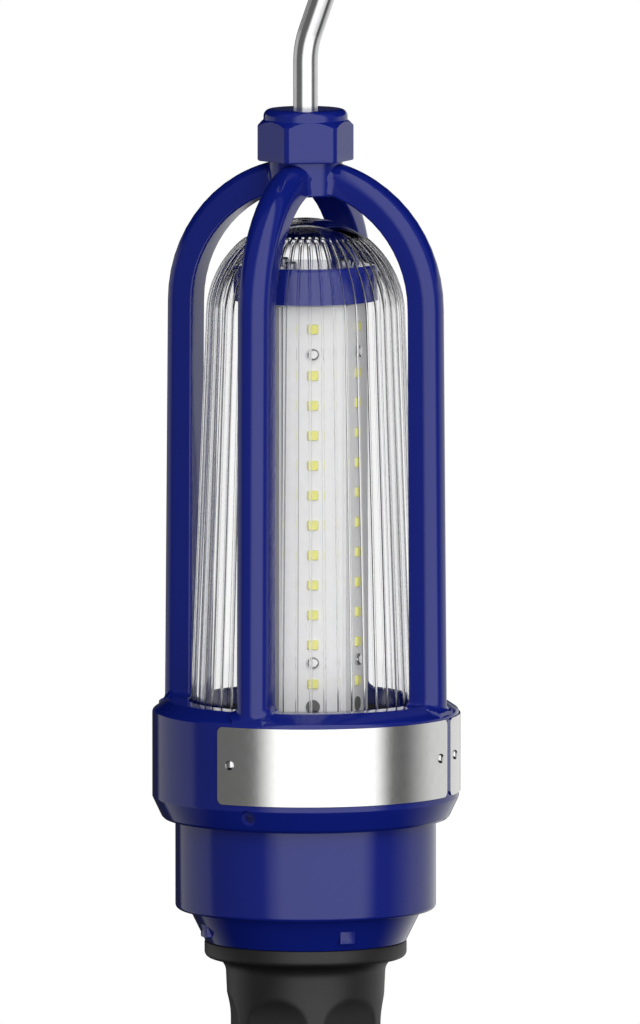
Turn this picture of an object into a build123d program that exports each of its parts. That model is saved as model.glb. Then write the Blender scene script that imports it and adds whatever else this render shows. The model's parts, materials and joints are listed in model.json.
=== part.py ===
"""Caged LED hand lamp that hangs from a swivelling hook.

Millimetres, +Z up.  The origin is the seat of the hook, the underside of its crest, on the
lamp's axis.  The four guard arms stand on -Y, +X, +Y and -X.  A piece built on the -Y side is
turned to its place by facing(), whose angle grows from -Y towards +X.
"""

from build123d import *
from math import cos, radians, sin, sqrt, tan
import os

# Driving heights.  The arms' arches are centred on ARCH_Z; the other heights hang from it.
ARCH_Z = -174.7

# Hook
ROD_R = 4.0
HOOK_R = 24.0
HOOK_LEAN = 20.0
HOOK_BEND_R = 28.0
HOOK_STRAIGHT = 20.5
HOOK_WRAP = 225.0
HOOK_TIP_R = 14.0
HOOK_TIP_TURN = 50.0
ROD_FOOT_Z = ARCH_Z + 42.5

# Hex cap over the swivel
CAP_TOP_Z = ARCH_Z + 64.0
CAP_SHOULDER_Z = ARCH_Z + 60.3
CAP_BASE_Z = ARCH_Z + 47.2
CAP_WEB_Z = ARCH_Z + 58.0
CAP_AF = 28.0
CAP_CORNER_R = 16.17
CAP_NECK_R = 13.7
CAP_NECK_ROUND = 2.5
CAP_CHAMFER = 2.2
CAP_CORNER_CHAMFER = 1.0
CAP_THREAD_R = 10.6

# Swivel pieces inside the cap
SWIVEL_COLLAR_R = 7.5
SWIVEL_COLLAR_Z = (ARCH_Z + 47.5, ARCH_Z + 56.0)
SWIVEL_PIN_R = 1.5
SWIVEL_PIN_Z = ARCH_Z + 51.0
SWIVEL_POCKET_R = 7.7
SWIVEL_POCKET_Z = ARCH_Z + 46.15
SWIVEL_WELL_R = 5.0
SWIVEL_WELL_Z = ARCH_Z + 41.5
SPIGOT_R = 10.5
SPIGOT_TOP_Z = ARCH_Z + 56.0

# Guard arms and hub
ARM_COUNT = 4
ARM_OUTER_R = 48.0
ARM_INNER_R = 37.8
ARM_OUTER_DRAFT = 0.49
ARM_INNER_DRAFT = 0.27
ARM_WIDTH = 11.0
ARM_OUTER_ROUND = 5.2
ARM_INNER_ROUND = 0.8
ARM_ROOT = 0.7
HUB_R = 12.0
HUB_BASE_Z = ARCH_Z + 36.0

# Collar, the ring that the arms stand on
COLLAR_R = 50.0
COLLAR_TOP_R = 45.0
COLLAR_LIP_R = 38.0
COLLAR_BORE_R = 41.5
COLLAR_FOOT_R = 47.0
COLLAR_TOP_Z = ARCH_Z - 129.0
COLLAR_SHOULDER_Z = ARCH_Z - 132.3
COLLAR_LIP_Z = ARCH_Z - 134.0
COLLAR_EDGE_Z = ARCH_Z - 160.6
COLLAR_FOOT_Z = ARCH_Z - 166.9
COLLAR_BASE_Z = ARCH_Z - 167.7
COLLAR_FOOT_CHAMFER = 0.8
SET_SCREW_R = 2.5
SET_SCREW_Z = ARCH_Z - 163.2
SET_SCREW_AT = (0, 180)
SET_SCREW_SINK = 2.6
SET_SCREW_KEY_R = 1.45
SET_SCREW_KEY_DEPTH = 2.5

# Nameplates
PLATE_GAP = 0.05
PLATE_T = 0.45
PLATE_Z = (ARCH_Z - 158.7, ARCH_Z - 133.4)
PLATE_CORNER_R = 2.0
PLATE_SPAN = 100.4
PLATE_FRONT_START = -12.0
PLATE_SIDE_START = 91.5
RIVET_INSET = 5.3
RIVET_SHANK_R = 0.95
RIVET_HOLE_R = 1.0
RIVET_HEAD_R = 1.55
RIVET_HEAD_H = 0.9
RIVET_DEPTH = 4.0
RIVET_RISE = 0.3

# Globe
GLOBE_DOME_R = 32.0
GLOBE_DOME_Z = ARCH_Z - 3.6
GLOBE_DRAFT = 2.25
GLOBE_WALL = 2.5
GLOBE_FLANGE_R = 41.3
GLOBE_FLANGE_Z = (ARCH_Z - 141.5, ARCH_Z - 135.5)
GASKET_R = 41.3
GASKET_INNER_R = 38.2
GASKET_T = 1.5
RETAINER_R = (36.0, 41.3)
RETAINER_Z = (ARCH_Z - 149.0, ARCH_Z - 143.0)
RETAINER_SLOT = 4.0
RETAINER_SLOT_DEPTH = 2.5

# LED tower
TOWER_SIDES = 6
FIRST_FACE = 30
BOARD_FACE = 18.0
BOARD_T = 1.2
BOARD_W = 19.2
BOARD_Z = (ARCH_Z - 132.5, ARCH_Z + 1.0)
HEATSINK_GAP = 0.05
HEATSINK_BORE_R = 8.0
HEATSINK_Z = (ARCH_Z - 135.0, ARCH_Z + 10.2)
CHIP_SIZE = (3.5, 0.9, 3.2)
CHIP_TOP_Z = ARCH_Z - 6.3
CHIP_ROW_TOP_Z = ARCH_Z - 21.4
CHIP_ROW_COUNT = 10
CHIP_ROW_PITCH = 9.77
CHIP_LOW_Z = ARCH_Z - 122.1
BOARD_SCREW_Z = (ARCH_Z - 14.5, ARCH_Z - 115.2)
BOARD_SCREW_HEAD_R = 2.0
BOARD_SCREW_HEAD_H = 1.3
BOARD_LEAD_Z = ARCH_Z - 129.6
GROMMET_R = 2.3
LEAD_R = 1.0
LEAD_CIRCLE_R = 4.5
LEAD_BEND_R = 3.5
TOWER_CAP_R = 23.5
TOWER_CAP_Z = (ARCH_Z + 1.8, ARCH_Z + 13.2)
TOWER_CAP_PLATE = 3.0
TOWER_CAP_WALL = 1.8
TOWER_CAP_ROUND = 1.2
PORT_CIRCLE_R = 12.5
BASE_PLATE_R = 28.5
BASE_FLANGE_R = 35.8
BASE_WALL = 2.5
BASE_TOP_Z = ARCH_Z - 135.0
BASE_FLOOR_Z = ARCH_Z - 139.0
BASE_FLANGE_Z = (ARCH_Z - 155.0, ARCH_Z - 152.0)
BASE_SCREW_CIRCLE_R = 33.3
M3_R = 1.4
M3_HOLE_R = 1.5
M3_HEAD_R = 2.2
M3_HEAD_H = 1.8

# Barrel
BARREL_R = 42.5
NECK_R = 41.4
NECK_TOP_Z = ARCH_Z - 150.0
NECK_BORE_R = 36.0
CAVITY_R = 31.0
CAVITY_FLOOR_Z = ARCH_Z - 195.0
BARREL_BASE_Z = ARCH_Z - 197.5
BARREL_ROUND = 1.5
CONE_TOP_R = 38.0
CONE_FOOT_R = 32.8
CONE_BASE_Z = ARCH_Z - 208.0
SOCKET_R = 22.5
ORING_Z = ARCH_Z - 158.7
ORING_SECTION_R = 1.1
ORING_GROOVE = (39.2, 3.2)
LUG_COUNT = 4
LUG_WIDTH = 5.3
LUG_R = 36.0
LUG_Z = (ARCH_Z - 205.7, ARCH_Z - 200.8)

# Driver electronics in the barrel
DRIVER_R = 30.3
DRIVER_Z = (ARCH_Z - 190.0, ARCH_Z - 188.4)
STANDOFF_CIRCLE_R = 26.75
STANDOFF_AT = (90, 210, 330)
STANDOFF_R = 2.75
STANDOFF_TAP = 3.5
STANDOFF_STUD = 4.0
CORE_X = (-25.0, -9.0)
CORE_Y = (-8.0, 8.0)
CORE_H = 15.0
CORE_LEG = 3.5
WINDOW_Y = (-5.0, 5.0)
WINDING_X = (-23.0, -11.0)
WINDING_Y = (-6.0, 6.0)
WINDING_GAP = 0.5
CAPACITOR_R = 5.0
CAPACITOR_H = 18.0
CAPACITOR_AT = ((10.0, 16.0), (-2.5, 20.0))
CAPACITOR_ROUND = 0.8
CAPACITOR_GROOVE_R = 4.6
CAPACITOR_GROOVE_Z = (2.2, 3.2)
CHOKE_AT = (-2.0, -19.5)
CHOKE_R = 5.0
CHOKE_SECTION_R = 2.4
TERMINAL_X = (13.0, 23.0)
TERMINAL_Y = (-13.0, 7.0)
TERMINAL_H = 10.0
TERMINAL_WAYS = 3
TERMINAL_FIRST_Y = -9.5
TERMINAL_PITCH = 6.5
TERMINAL_WELL_R = 1.9
TERMINAL_WELL_DEPTH = 3.0
TERMINAL_MOUTH = (2.5, 3.6)
TERMINAL_MOUTH_Z = (2.0, 5.6)
TERMINAL_SCREW_R = 1.8
TERMINAL_SCREW_H = 2.2
TERMINAL_SLOT = (0.6, 1.0)
EARTH_SCREW_AT = 49.5
EARTH_LEAD_AT = 36.8
EARTH_HEAD_R = 2.6
EARTH_LUG_T = 0.8
EARTH_LUG_R = 3.4
EARTH_TONGUE = (-1.5, 1.2)
EARTH_CRIMP_R = 1.7
EARTH_CRIMP_H = 3.0
EARTH_LEAD_RISE = 5.5

# Handle
TUBE_R = 18.0
TUBE_BORE_R = 15.0
NIPPLE_R = 22.4
NIPPLE_TOP_Z = ARCH_Z - 196.0
HANDLE_BASE_Z = ARCH_Z - 333.0
GRIP_FLANGE_R = 33.0
GRIP_FLANGE_Z = ARCH_Z - 213.5
GRIP_FLANGE_ROUND = 2.0
GRIP_NECK_R = 26.0
GRIP_COVE_R = 3.6
GRIP_WAIST_R = 25.3
GRIP_WAIST_Z = ARCH_Z - 275.0
GRIP_END_R = 27.2
GRIP_END_ROUND = 6.0
GRIP_END_H = 12.0
FLUTE_COUNT = 6
FLUTE_FLOOR = 23.4
FLUTE_END_R = 20.0
FLUTE_Z = (ARCH_Z - 296.0, ARCH_Z - 236.0)

# Cable gland
GLAND_SPIGOT_Z = ARCH_Z - 320.0
GLAND_FLANGE_AF = 42.0
GLAND_FLANGE_Z = ARCH_Z - 340.0
GLAND_NECK_R = 13.9
GLAND_NECK_Z = ARCH_Z - 352.0
GLAND_BORE_R = 9.0
GLAND_SEAT_R = 11.0
GLAND_SEAT_Z = ARCH_Z - 342.0
BUSH_BORE_R = 5.5
BUSH_BASE_Z = ARCH_Z - 351.0
GLAND_WASHER_BORE_R = 6.2
GLAND_NUT_AF = 34.0
GLAND_NUT_TOP_Z = ARCH_Z - 341.0
GLAND_NUT_BASE_Z = ARCH_Z - 357.0
GLAND_NUT_LIP_R = 7.5
GLAND_CHAMFER = 1.5
GLAND_NUT_CHAMFER_R = 1.0
GLAND_NUT_NOSE = (3.5, 6.0)

FIT = 0.05


def facing(angle, piece):
    """Turn a piece built on the -Y side to an angle that grows from -Y towards +X."""
    return Rot(0, 0, angle) * piece


def rod(radius, low, high, x=0.0, y=0.0):
    """Vertical cylinder between two heights."""
    foot = (Align.CENTER, Align.CENTER, Align.MIN)
    return Pos(x, y, low) * Cylinder(radius, high - low, align=foot)


def ring(outer, inner, low, high):
    """Vertical tube between two heights."""
    return rod(outer, low, high) - rod(inner, low, high)


def radial_rod(radius, near, far, z):
    """Cylinder along -Y, from one distance off the axis to another."""
    length = far - near
    return Pos(0, -(near + far) / 2, z) * Rot(90, 0, 0) * Cylinder(radius, length)


def block(x, y, z):
    """Box between pairs of limits."""
    centre = ((x[0] + x[1]) / 2, (y[0] + y[1]) / 2, (z[0] + z[1]) / 2)
    return Pos(*centre) * Box(x[1] - x[0], y[1] - y[0], z[1] - z[0])


def hexagon(across_flats, low, high):
    """Hexagonal prism with faces turned to 30, 90, 150 degrees and so on."""
    outline = Rot(0, 0, 30) * RegularPolygon(across_flats / sqrt(3), 6)
    return Pos(0, 0, low) * extrude(outline, high - low)


def turned(*points):
    """Solid of revolution about Z from (radius, height) corners."""
    outline = Plane.XZ * make_face(Polyline(*points, close=True))
    return revolve(outline, Axis.Z)


def screw(head_r, head_h, shank_r, length):
    """Screw standing on z = 0 with its domed head above and its shank below."""
    head = fillet(rod(head_r, 0, head_h).edges().sort_by(Axis.Z)[-1], head_h * 0.6)
    return head + rod(shank_r, -length, 0)


def circles(body, radius):
    """Round edges of one radius, the lowest first."""
    round_edges = body.edges().filter_by(GeomType.CIRCLE)
    return [e for e in round_edges.sort_by(Axis.Z) if abs(e.radius - radius) < 0.01]


def polar_places(count, radius, start):
    """Points around the axis, the first one at an angle from -Y towards +X."""
    for step in range(count):
        angle = radians(start + 360 * step / count)
        yield radius * sin(angle), -radius * cos(angle)


def hook_rod():
    """Round rod: straight up out of the cap, leaning away, then over into the hook."""
    bend_z = CAP_TOP_Z + HOOK_STRAIGHT
    crest_z = -HOOK_R + ROD_R
    bend_run = HOOK_BEND_R * tan(radians(HOOK_LEAN / 2))
    lean = Vector(sin(radians(HOOK_LEAN)), cos(radians(HOOK_LEAN)))
    lean_run = (crest_z - bend_z) * cos(radians(HOOK_LEAN)) - bend_run
    shank = Line((0, ROD_FOOT_Z), (0, bend_z - bend_run))
    bend = JernArc(shank @ 1, (0, 1), HOOK_BEND_R, -HOOK_LEAN)
    slope = Line(bend @ 1, bend @ 1 + lean * lean_run)
    crook = JernArc(slope @ 1, lean, HOOK_R, HOOK_WRAP)
    tip = JernArc(crook @ 1, crook % 1, HOOK_TIP_R, -HOOK_TIP_TURN)
    path = Plane.XZ * Wire([*shank.edges(), *bend.edges(), *slope.edges(), *crook.edges(), *tip.edges()])
    body = sweep(Plane(origin=(0, 0, ROD_FOOT_Z), z_dir=(0, 0, 1)) * Circle(ROD_R), path=path)
    body += Pos(path @ 1) * Sphere(ROD_R)
    return body - Pos(0, 0, SWIVEL_PIN_Z) * Rot(0, 90, 0) * Cylinder(SWIVEL_PIN_R + FIT, 4 * ROD_R)


def hook_collar():
    """Collar pinned to the foot of the rod, which carries the lamp's weight."""
    body = ring(SWIVEL_COLLAR_R, ROD_R + FIT, *SWIVEL_COLLAR_Z)
    return body - Pos(0, 0, SWIVEL_PIN_Z) * Rot(0, 90, 0) * Cylinder(SWIVEL_PIN_R + FIT, 4 * ROD_R)


def hook_pin():
    """Cross pin through the collar and the rod."""
    return Pos(0, 0, SWIVEL_PIN_Z) * Rot(0, 90, 0) * Cylinder(SWIVEL_PIN_R, 2 * SWIVEL_COLLAR_R - 0.4)


def hex_cap():
    """Hexagon cap with a round neck, screwed on the hub's spigot over the swivel."""
    prism = hexagon(CAP_AF, CAP_BASE_Z, CAP_SHOULDER_Z)
    prism = chamfer(prism.edges().filter_by(Axis.Z), CAP_CORNER_CHAMFER)
    cone = turned(
        (0, CAP_BASE_Z),
        (CAP_CORNER_R, CAP_BASE_Z),
        (CAP_CORNER_R, CAP_SHOULDER_Z - CAP_CHAMFER),
        (CAP_CORNER_R - CAP_CHAMFER, CAP_SHOULDER_Z),
        (0, CAP_SHOULDER_Z),
    )
    neck = rod(CAP_NECK_R, CAP_WEB_Z, CAP_TOP_Z)
    neck = fillet(neck.edges().sort_by(Axis.Z)[-1], CAP_NECK_ROUND)
    body = (prism & cone) + neck
    return body - rod(CAP_THREAD_R, CAP_BASE_Z, CAP_WEB_Z) - rod(ROD_R + FIT, CAP_WEB_Z, CAP_TOP_Z)


def thrust_washer():
    """Bearing washer between the swivel collar and the cap's web."""
    return ring(CAP_THREAD_R - 0.6, ROD_R + 0.3, SWIVEL_COLLAR_Z[1] + FIT, CAP_WEB_Z - FIT)


def spring_washer():
    """Washer under the swivel collar that stops it rattling."""
    return ring(SWIVEL_POCKET_R - 0.3, ROD_R + 0.5, SWIVEL_POCKET_Z + FIT, SWIVEL_COLLAR_Z[0] - FIT)


def arm_side(radius, draft, foot_z):
    """One side of an arm: a leg that leaves the arch tangentially, and a quarter of the arch."""
    spring = (radius * cos(radians(draft)), ARCH_Z + radius * sin(radians(draft)))
    foot = (spring[0] + (spring[1] - foot_z) * tan(radians(draft)), foot_z)
    arch = CenterArc((0, ARCH_Z), radius, draft, 90 - draft)
    return Line(foot, spring), arch, foot


def guard_arm():
    """One arm on the +X side, from inside the collar up to the axis."""
    foot_z = COLLAR_SHOULDER_Z - ARM_ROOT
    outer_leg, outer_arch, outer_foot = arm_side(ARM_OUTER_R, ARM_OUTER_DRAFT, foot_z)
    inner_leg, inner_arch, inner_foot = arm_side(ARM_INNER_R, ARM_INNER_DRAFT, foot_z)
    crown = Line(outer_arch @ 1, inner_arch @ 1)
    sole = Line(inner_foot, outer_foot)
    outline = make_face([outer_leg, outer_arch, crown, inner_arch, inner_leg, sole])
    arm = extrude(Plane.XZ * outline, ARM_WIDTH / 2, both=True)
    arm = fillet(arm_rims(arm, ARM_OUTER_R), ARM_OUTER_ROUND)
    return fillet(arm_rims(arm, ARM_INNER_R), ARM_INNER_ROUND)


def arm_rims(arm, radius):
    """Long edges of an arm's two sides that run about one distance from the arch's centre."""
    sides = [e for e in arm.edges() if abs(e.center().Y) > ARM_WIDTH / 2 - 0.01 and e.length > 2 * ARM_WIDTH]
    return [e for e in sides if abs(distance_from_arch(e) - radius) < 2]


def distance_from_arch(edge):
    """Distance of an edge's middle from the arch's centre line, or from Z below the arch."""
    point = edge @ 0.5
    return sqrt(point.X ** 2 + max(point.Z - ARCH_Z, 0) ** 2)


def guard_casting():
    """Collar, four arms, hub and threaded spigot, cast in one piece."""
    collar = turned(
        (COLLAR_LIP_R, COLLAR_TOP_Z),
        (COLLAR_TOP_R, COLLAR_TOP_Z),
        (COLLAR_R, COLLAR_SHOULDER_Z),
        (COLLAR_R, COLLAR_EDGE_Z),
        (COLLAR_FOOT_R, COLLAR_FOOT_Z),
        (COLLAR_FOOT_R - COLLAR_FOOT_CHAMFER, COLLAR_BASE_Z),
        (COLLAR_BORE_R, COLLAR_BASE_Z),
        (COLLAR_BORE_R, COLLAR_LIP_Z),
        (COLLAR_LIP_R, COLLAR_LIP_Z),
    )
    hub = rod(HUB_R, HUB_BASE_Z, CAP_BASE_Z) + rod(SPIGOT_R, HUB_BASE_Z, SPIGOT_TOP_Z)
    arm = guard_arm()
    arms = [Rot(0, 0, 360 * step / ARM_COUNT) * arm for step in range(ARM_COUNT)]
    body = hub + arms + collar
    body -= rod(SWIVEL_POCKET_R, SWIVEL_POCKET_Z, SPIGOT_TOP_Z)
    body -= rod(SWIVEL_WELL_R, SWIVEL_WELL_Z, SWIVEL_POCKET_Z)
    for angle in SET_SCREW_AT:
        body -= facing(angle, radial_rod(SET_SCREW_R + FIT, COLLAR_BORE_R - 1, COLLAR_R, SET_SCREW_Z))
    rivet_hole = radial_rod(RIVET_HOLE_R, COLLAR_R - RIVET_DEPTH, COLLAR_R + 1, rivet_z())
    for angle in rivet_angles():
        body -= facing(angle, rivet_hole)
    return body


def collar_set_screws():
    """Socket set screws that lock the collar to the barrel's neck."""
    far = COLLAR_R - SET_SCREW_SINK
    pin = radial_rod(SET_SCREW_R, COLLAR_BORE_R - FIT, far, SET_SCREW_Z)
    key = extrude(RegularPolygon(SET_SCREW_KEY_R, 6), SET_SCREW_KEY_DEPTH, both=True)
    pin -= Pos(0, -far, SET_SCREW_Z) * Rot(90, 0, 0) * key
    return Compound([facing(angle, pin).solid() for angle in SET_SCREW_AT])


def rivet_z():
    """The rivets sit a little over the middle of the plates."""
    return (PLATE_Z[0] + PLATE_Z[1]) / 2 + RIVET_RISE


def plate_rivet_angles(start):
    return (start + RIVET_INSET, start + PLATE_SPAN - RIVET_INSET)


def rivet_angles():
    return (*plate_rivet_angles(PLATE_FRONT_START), *plate_rivet_angles(PLATE_SIDE_START))


def nameplate(start):
    """Thin curved plate on the collar, with round corners and two rivet holes."""
    inner = COLLAR_R + PLATE_GAP
    outer = inner + PLATE_T
    low, high = PLATE_Z
    outline = Polyline((inner, low), (outer, low), (outer, high), (inner, high), close=True)
    plate = revolve(Plane.XZ * make_face(outline), Axis.Z, revolution_arc=PLATE_SPAN)
    plate = Rot(0, 0, start - 90) * plate
    corners = [e for e in plate.edges() if abs(e.length - PLATE_T) < 1e-3]
    plate = fillet(corners, PLATE_CORNER_R)
    for angle in plate_rivet_angles(start):
        plate -= facing(angle, radial_rod(RIVET_HOLE_R, inner - 1, outer + 1, rivet_z()))
    return plate


def nameplate_rivets():
    """Drive rivets through the plates into the collar."""
    seat = COLLAR_R + PLATE_GAP + PLATE_T
    rivet = screw(RIVET_HEAD_R, RIVET_HEAD_H, RIVET_SHANK_R, RIVET_DEPTH)
    rivet = Pos(0, -seat, rivet_z()) * Rot(90, 0, 0) * rivet
    return Compound([facing(angle, rivet).solid() for angle in rivet_angles()])


def globe_wall(radius, low):
    """Outline of one side of the globe: a draughted wall and a round dome, closed on the axis."""
    spring_r = radius * cos(radians(GLOBE_DRAFT))
    spring_z = GLOBE_DOME_Z + radius * sin(radians(GLOBE_DRAFT))
    foot_r = spring_r + (spring_z - low) * tan(radians(GLOBE_DRAFT))
    wall = Line((foot_r, low), (spring_r, spring_z))
    dome = CenterArc((0, GLOBE_DOME_Z), radius, GLOBE_DRAFT, 90 - GLOBE_DRAFT)
    sole = Line((0, low), (foot_r, low))
    axis = Line(dome @ 1, (0, low))
    return revolve(Plane.XZ * make_face([sole, wall, dome, axis]), Axis.Z)


def globe():
    """Glass globe with a foot flange that is clamped in the collar."""
    low = GLOBE_FLANGE_Z[0]
    body = globe_wall(GLOBE_DOME_R, low) + rod(GLOBE_FLANGE_R, *GLOBE_FLANGE_Z)
    return body - globe_wall(GLOBE_DOME_R - GLOBE_WALL, low)


def globe_retaining_ring():
    """Threaded ring that clamps the globe, with four spanner slots."""
    body = ring(RETAINER_R[1], RETAINER_R[0], *RETAINER_Z)
    half = RETAINER_SLOT / 2
    for angle in (0, 90):
        slot_z = (RETAINER_Z[0], RETAINER_Z[0] + RETAINER_SLOT_DEPTH)
        slot = block((-half, half), (-COLLAR_R, COLLAR_R), slot_z)
        body -= facing(angle, slot)
    return body


def board_places():
    """Angles of the tower's faces."""
    return [FIRST_FACE + 360 * step / TOWER_SIDES for step in range(TOWER_SIDES)]


def tower_heatsink():
    """Hexagonal extrusion that carries the boards and takes their heat down to the barrel."""
    flat = BOARD_FACE - BOARD_T - HEATSINK_GAP
    body = hexagon(2 * flat, *HEATSINK_Z) - rod(HEATSINK_BORE_R, *HEATSINK_Z)
    for angle in board_places():
        for z in BOARD_SCREW_Z:
            body -= facing(angle, radial_rod(M3_HOLE_R, flat - 6.5, flat + 1, z))
        body -= facing(angle, radial_rod(GROMMET_R, 0, flat + 1, BOARD_LEAD_Z))
    for x, y in polar_places(3, PORT_CIRCLE_R, 0):
        body -= rod(M3_HOLE_R, HEATSINK_Z[1] - 12, HEATSINK_Z[1], x, y)
    for x, y in polar_places(3, PORT_CIRCLE_R, 60):
        body -= rod(M3_HOLE_R, HEATSINK_Z[0], HEATSINK_Z[0] + 5, x, y)
    return body


def led_board():
    """Long aluminium-core board for the -Y face, drilled for its screws and its lead."""
    back = -(BOARD_FACE - BOARD_T)
    board = block((-BOARD_W / 2, BOARD_W / 2), (-BOARD_FACE, back), BOARD_Z)
    for z in BOARD_SCREW_Z:
        board -= radial_rod(M3_HOLE_R, BOARD_FACE - BOARD_T - 1, BOARD_FACE + 1, z)
    return board - radial_rod(GROMMET_R, BOARD_FACE - BOARD_T - 1, BOARD_FACE + 1, BOARD_LEAD_Z)


def chip_heights():
    """Heights of the LEDs on a board: an even row with one more beyond each screw."""
    row = [CHIP_ROW_TOP_Z - CHIP_ROW_PITCH * step for step in range(CHIP_ROW_COUNT)]
    return [CHIP_TOP_Z, *row, CHIP_LOW_Z]


def led_chips():
    """LED packages standing on the -Y board."""
    width, proud, height = CHIP_SIZE
    chips = [
        block((-width / 2, width / 2), (-BOARD_FACE - proud, -BOARD_FACE), (z - height / 2, z + height / 2))
        for z in chip_heights()
    ]
    return Compound([chip.solid() for chip in chips])


def board_screws():
    """Two pan-head screws on every board."""
    one = screw(BOARD_SCREW_HEAD_R, BOARD_SCREW_HEAD_H, M3_R, 7.0)
    solids = []
    for angle in board_places():
        for z in BOARD_SCREW_Z:
            solids.append(facing(angle, Pos(0, -BOARD_FACE, z) * Rot(90, 0, 0) * one).solid())
    return Compound(solids)


def board_grommets():
    """Bush where each board's lead comes through."""
    bush = radial_rod(GROMMET_R - FIT, BOARD_FACE - BOARD_T, BOARD_FACE + 0.4, BOARD_LEAD_Z)
    bush -= radial_rod(LEAD_R + FIT, BOARD_FACE - BOARD_T - 1, BOARD_FACE - 0.3, BOARD_LEAD_Z)
    return Compound([facing(angle, bush).solid() for angle in board_places()])


def board_leads():
    """A two-core lead for each board, up the heatsink's bore and out through its wall."""
    points = [
        (0, -LEAD_CIRCLE_R, DRIVER_Z[1]),
        (0, -LEAD_CIRCLE_R, BOARD_LEAD_Z),
        (0, -(BOARD_FACE - 0.35), BOARD_LEAD_Z),
    ]
    path = FilletPolyline(*points, radius=LEAD_BEND_R)
    lead = sweep(Plane(origin=points[0], z_dir=(0, 0, 1)) * Circle(LEAD_R), path=path)
    return Compound([facing(angle, lead).solid() for angle in board_places()])


def tower_cap():
    """Round cover over the top of the tower."""
    low, high = TOWER_CAP_Z
    body = rod(TOWER_CAP_R, low, high)
    body = fillet(body.edges().sort_by(Axis.Z)[-1], TOWER_CAP_ROUND)
    body -= rod(TOWER_CAP_R - TOWER_CAP_WALL, low, high - TOWER_CAP_PLATE)
    for x, y in polar_places(3, PORT_CIRCLE_R, 0):
        body -= rod(M3_HOLE_R, low, high, x, y)
    return body


def tower_cap_screws():
    one = Pos(0, 0, TOWER_CAP_Z[1]) * screw(M3_HEAD_R, M3_HEAD_H, M3_R, 12.0)
    return Compound([(Pos(x, y, 0) * one).solid() for x, y in polar_places(3, PORT_CIRCLE_R, 0)])


def tower_base():
    """Pedestal under the tower, screwed to the ledge in the barrel's neck."""
    body = turned(
        (HEATSINK_BORE_R, BASE_TOP_Z),
        (BASE_PLATE_R, BASE_TOP_Z),
        (BASE_PLATE_R, BASE_FLANGE_Z[1]),
        (BASE_FLANGE_R, BASE_FLANGE_Z[1]),
        (BASE_FLANGE_R, BASE_FLANGE_Z[0]),
        (BASE_PLATE_R - BASE_WALL, BASE_FLANGE_Z[0]),
        (BASE_PLATE_R - BASE_WALL, BASE_FLOOR_Z),
        (HEATSINK_BORE_R, BASE_FLOOR_Z),
    )
    for x, y in polar_places(3, PORT_CIRCLE_R, 60):
        body -= rod(M3_HOLE_R, BASE_FLOOR_Z, BASE_TOP_Z, x, y)
    for x, y in polar_places(3, BASE_SCREW_CIRCLE_R, 60):
        body -= rod(M3_HOLE_R, *BASE_FLANGE_Z, x, y)
    return body


def tower_foot_screws():
    """Screws from below, through the pedestal into the heatsink."""
    one = Pos(0, 0, BASE_FLOOR_Z) * Rot(180, 0, 0) * screw(M3_HEAD_R, M3_HEAD_H, M3_R, 8.0)
    return Compound([(Pos(x, y, 0) * one).solid() for x, y in polar_places(3, PORT_CIRCLE_R, 60)])


def tower_base_screws():
    """Screws that hold the pedestal's flange down in the barrel."""
    one = Pos(0, 0, BASE_FLANGE_Z[1]) * screw(M3_HEAD_R, M3_HEAD_H, M3_R, 9.0)
    return Compound([(Pos(x, y, 0) * one).solid() for x, y in polar_places(3, BASE_SCREW_CIRCLE_R, 60)])


def barrel_housing():
    """Housing that screws up into the collar, holds the driver and takes the handle below."""
    body = turned(
        (NECK_BORE_R, NECK_TOP_Z),
        (NECK_R, NECK_TOP_Z),
        (NECK_R, COLLAR_BASE_Z),
        (BARREL_R, COLLAR_BASE_Z),
        (BARREL_R, BARREL_BASE_Z),
        (CONE_TOP_R, BARREL_BASE_Z),
        (CONE_FOOT_R, CONE_BASE_Z),
        (SOCKET_R, CONE_BASE_Z),
        (SOCKET_R, CAVITY_FLOOR_Z),
        (CAVITY_R, CAVITY_FLOOR_Z),
        (CAVITY_R, BASE_FLANGE_Z[0]),
        (NECK_BORE_R, BASE_FLANGE_Z[0]),
    )
    body = fillet(circles(body, BARREL_R)[0], BARREL_ROUND)
    floor_r, groove_h = ORING_GROOVE
    body -= ring(NECK_R + 1, floor_r, ORING_Z - groove_h / 2, ORING_Z + groove_h / 2)
    half = LUG_WIDTH / 2
    for step in range(LUG_COUNT):
        lug = block((-half, half), (-LUG_R, -CONE_FOOT_R + 2), LUG_Z)
        body += facing(45 + 360 * step / LUG_COUNT, lug)
    for x, y in polar_places(3, BASE_SCREW_CIRCLE_R, 60):
        body -= rod(M3_HOLE_R, BASE_FLANGE_Z[0] - 7, BASE_FLANGE_Z[0], x, y)
    for angle in STANDOFF_AT:
        x, y = next(polar_places(1, STANDOFF_CIRCLE_R, angle))
        body -= rod(M3_HOLE_R, CAVITY_FLOOR_Z - 5, CAVITY_FLOOR_Z, x, y)
    x, y = next(polar_places(1, STANDOFF_CIRCLE_R, EARTH_SCREW_AT))
    return body - rod(M3_HOLE_R, CAVITY_FLOOR_Z - 6, CAVITY_FLOOR_Z, x, y)


def barrel_oring():
    centre = COLLAR_BORE_R - FIT - ORING_SECTION_R
    return Pos(0, 0, ORING_Z) * Torus(centre, ORING_SECTION_R)


def driver_board():
    """Round board that carries the driver's components."""
    body = rod(DRIVER_R, *DRIVER_Z)
    for angle in STANDOFF_AT:
        x, y = next(polar_places(1, STANDOFF_CIRCLE_R, angle))
        body -= rod(M3_HOLE_R, *DRIVER_Z, x, y)
    x, y = next(polar_places(1, STANDOFF_CIRCLE_R, EARTH_LEAD_AT))
    return body - rod(LEAD_R + 0.5, *DRIVER_Z, x, y)


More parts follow.
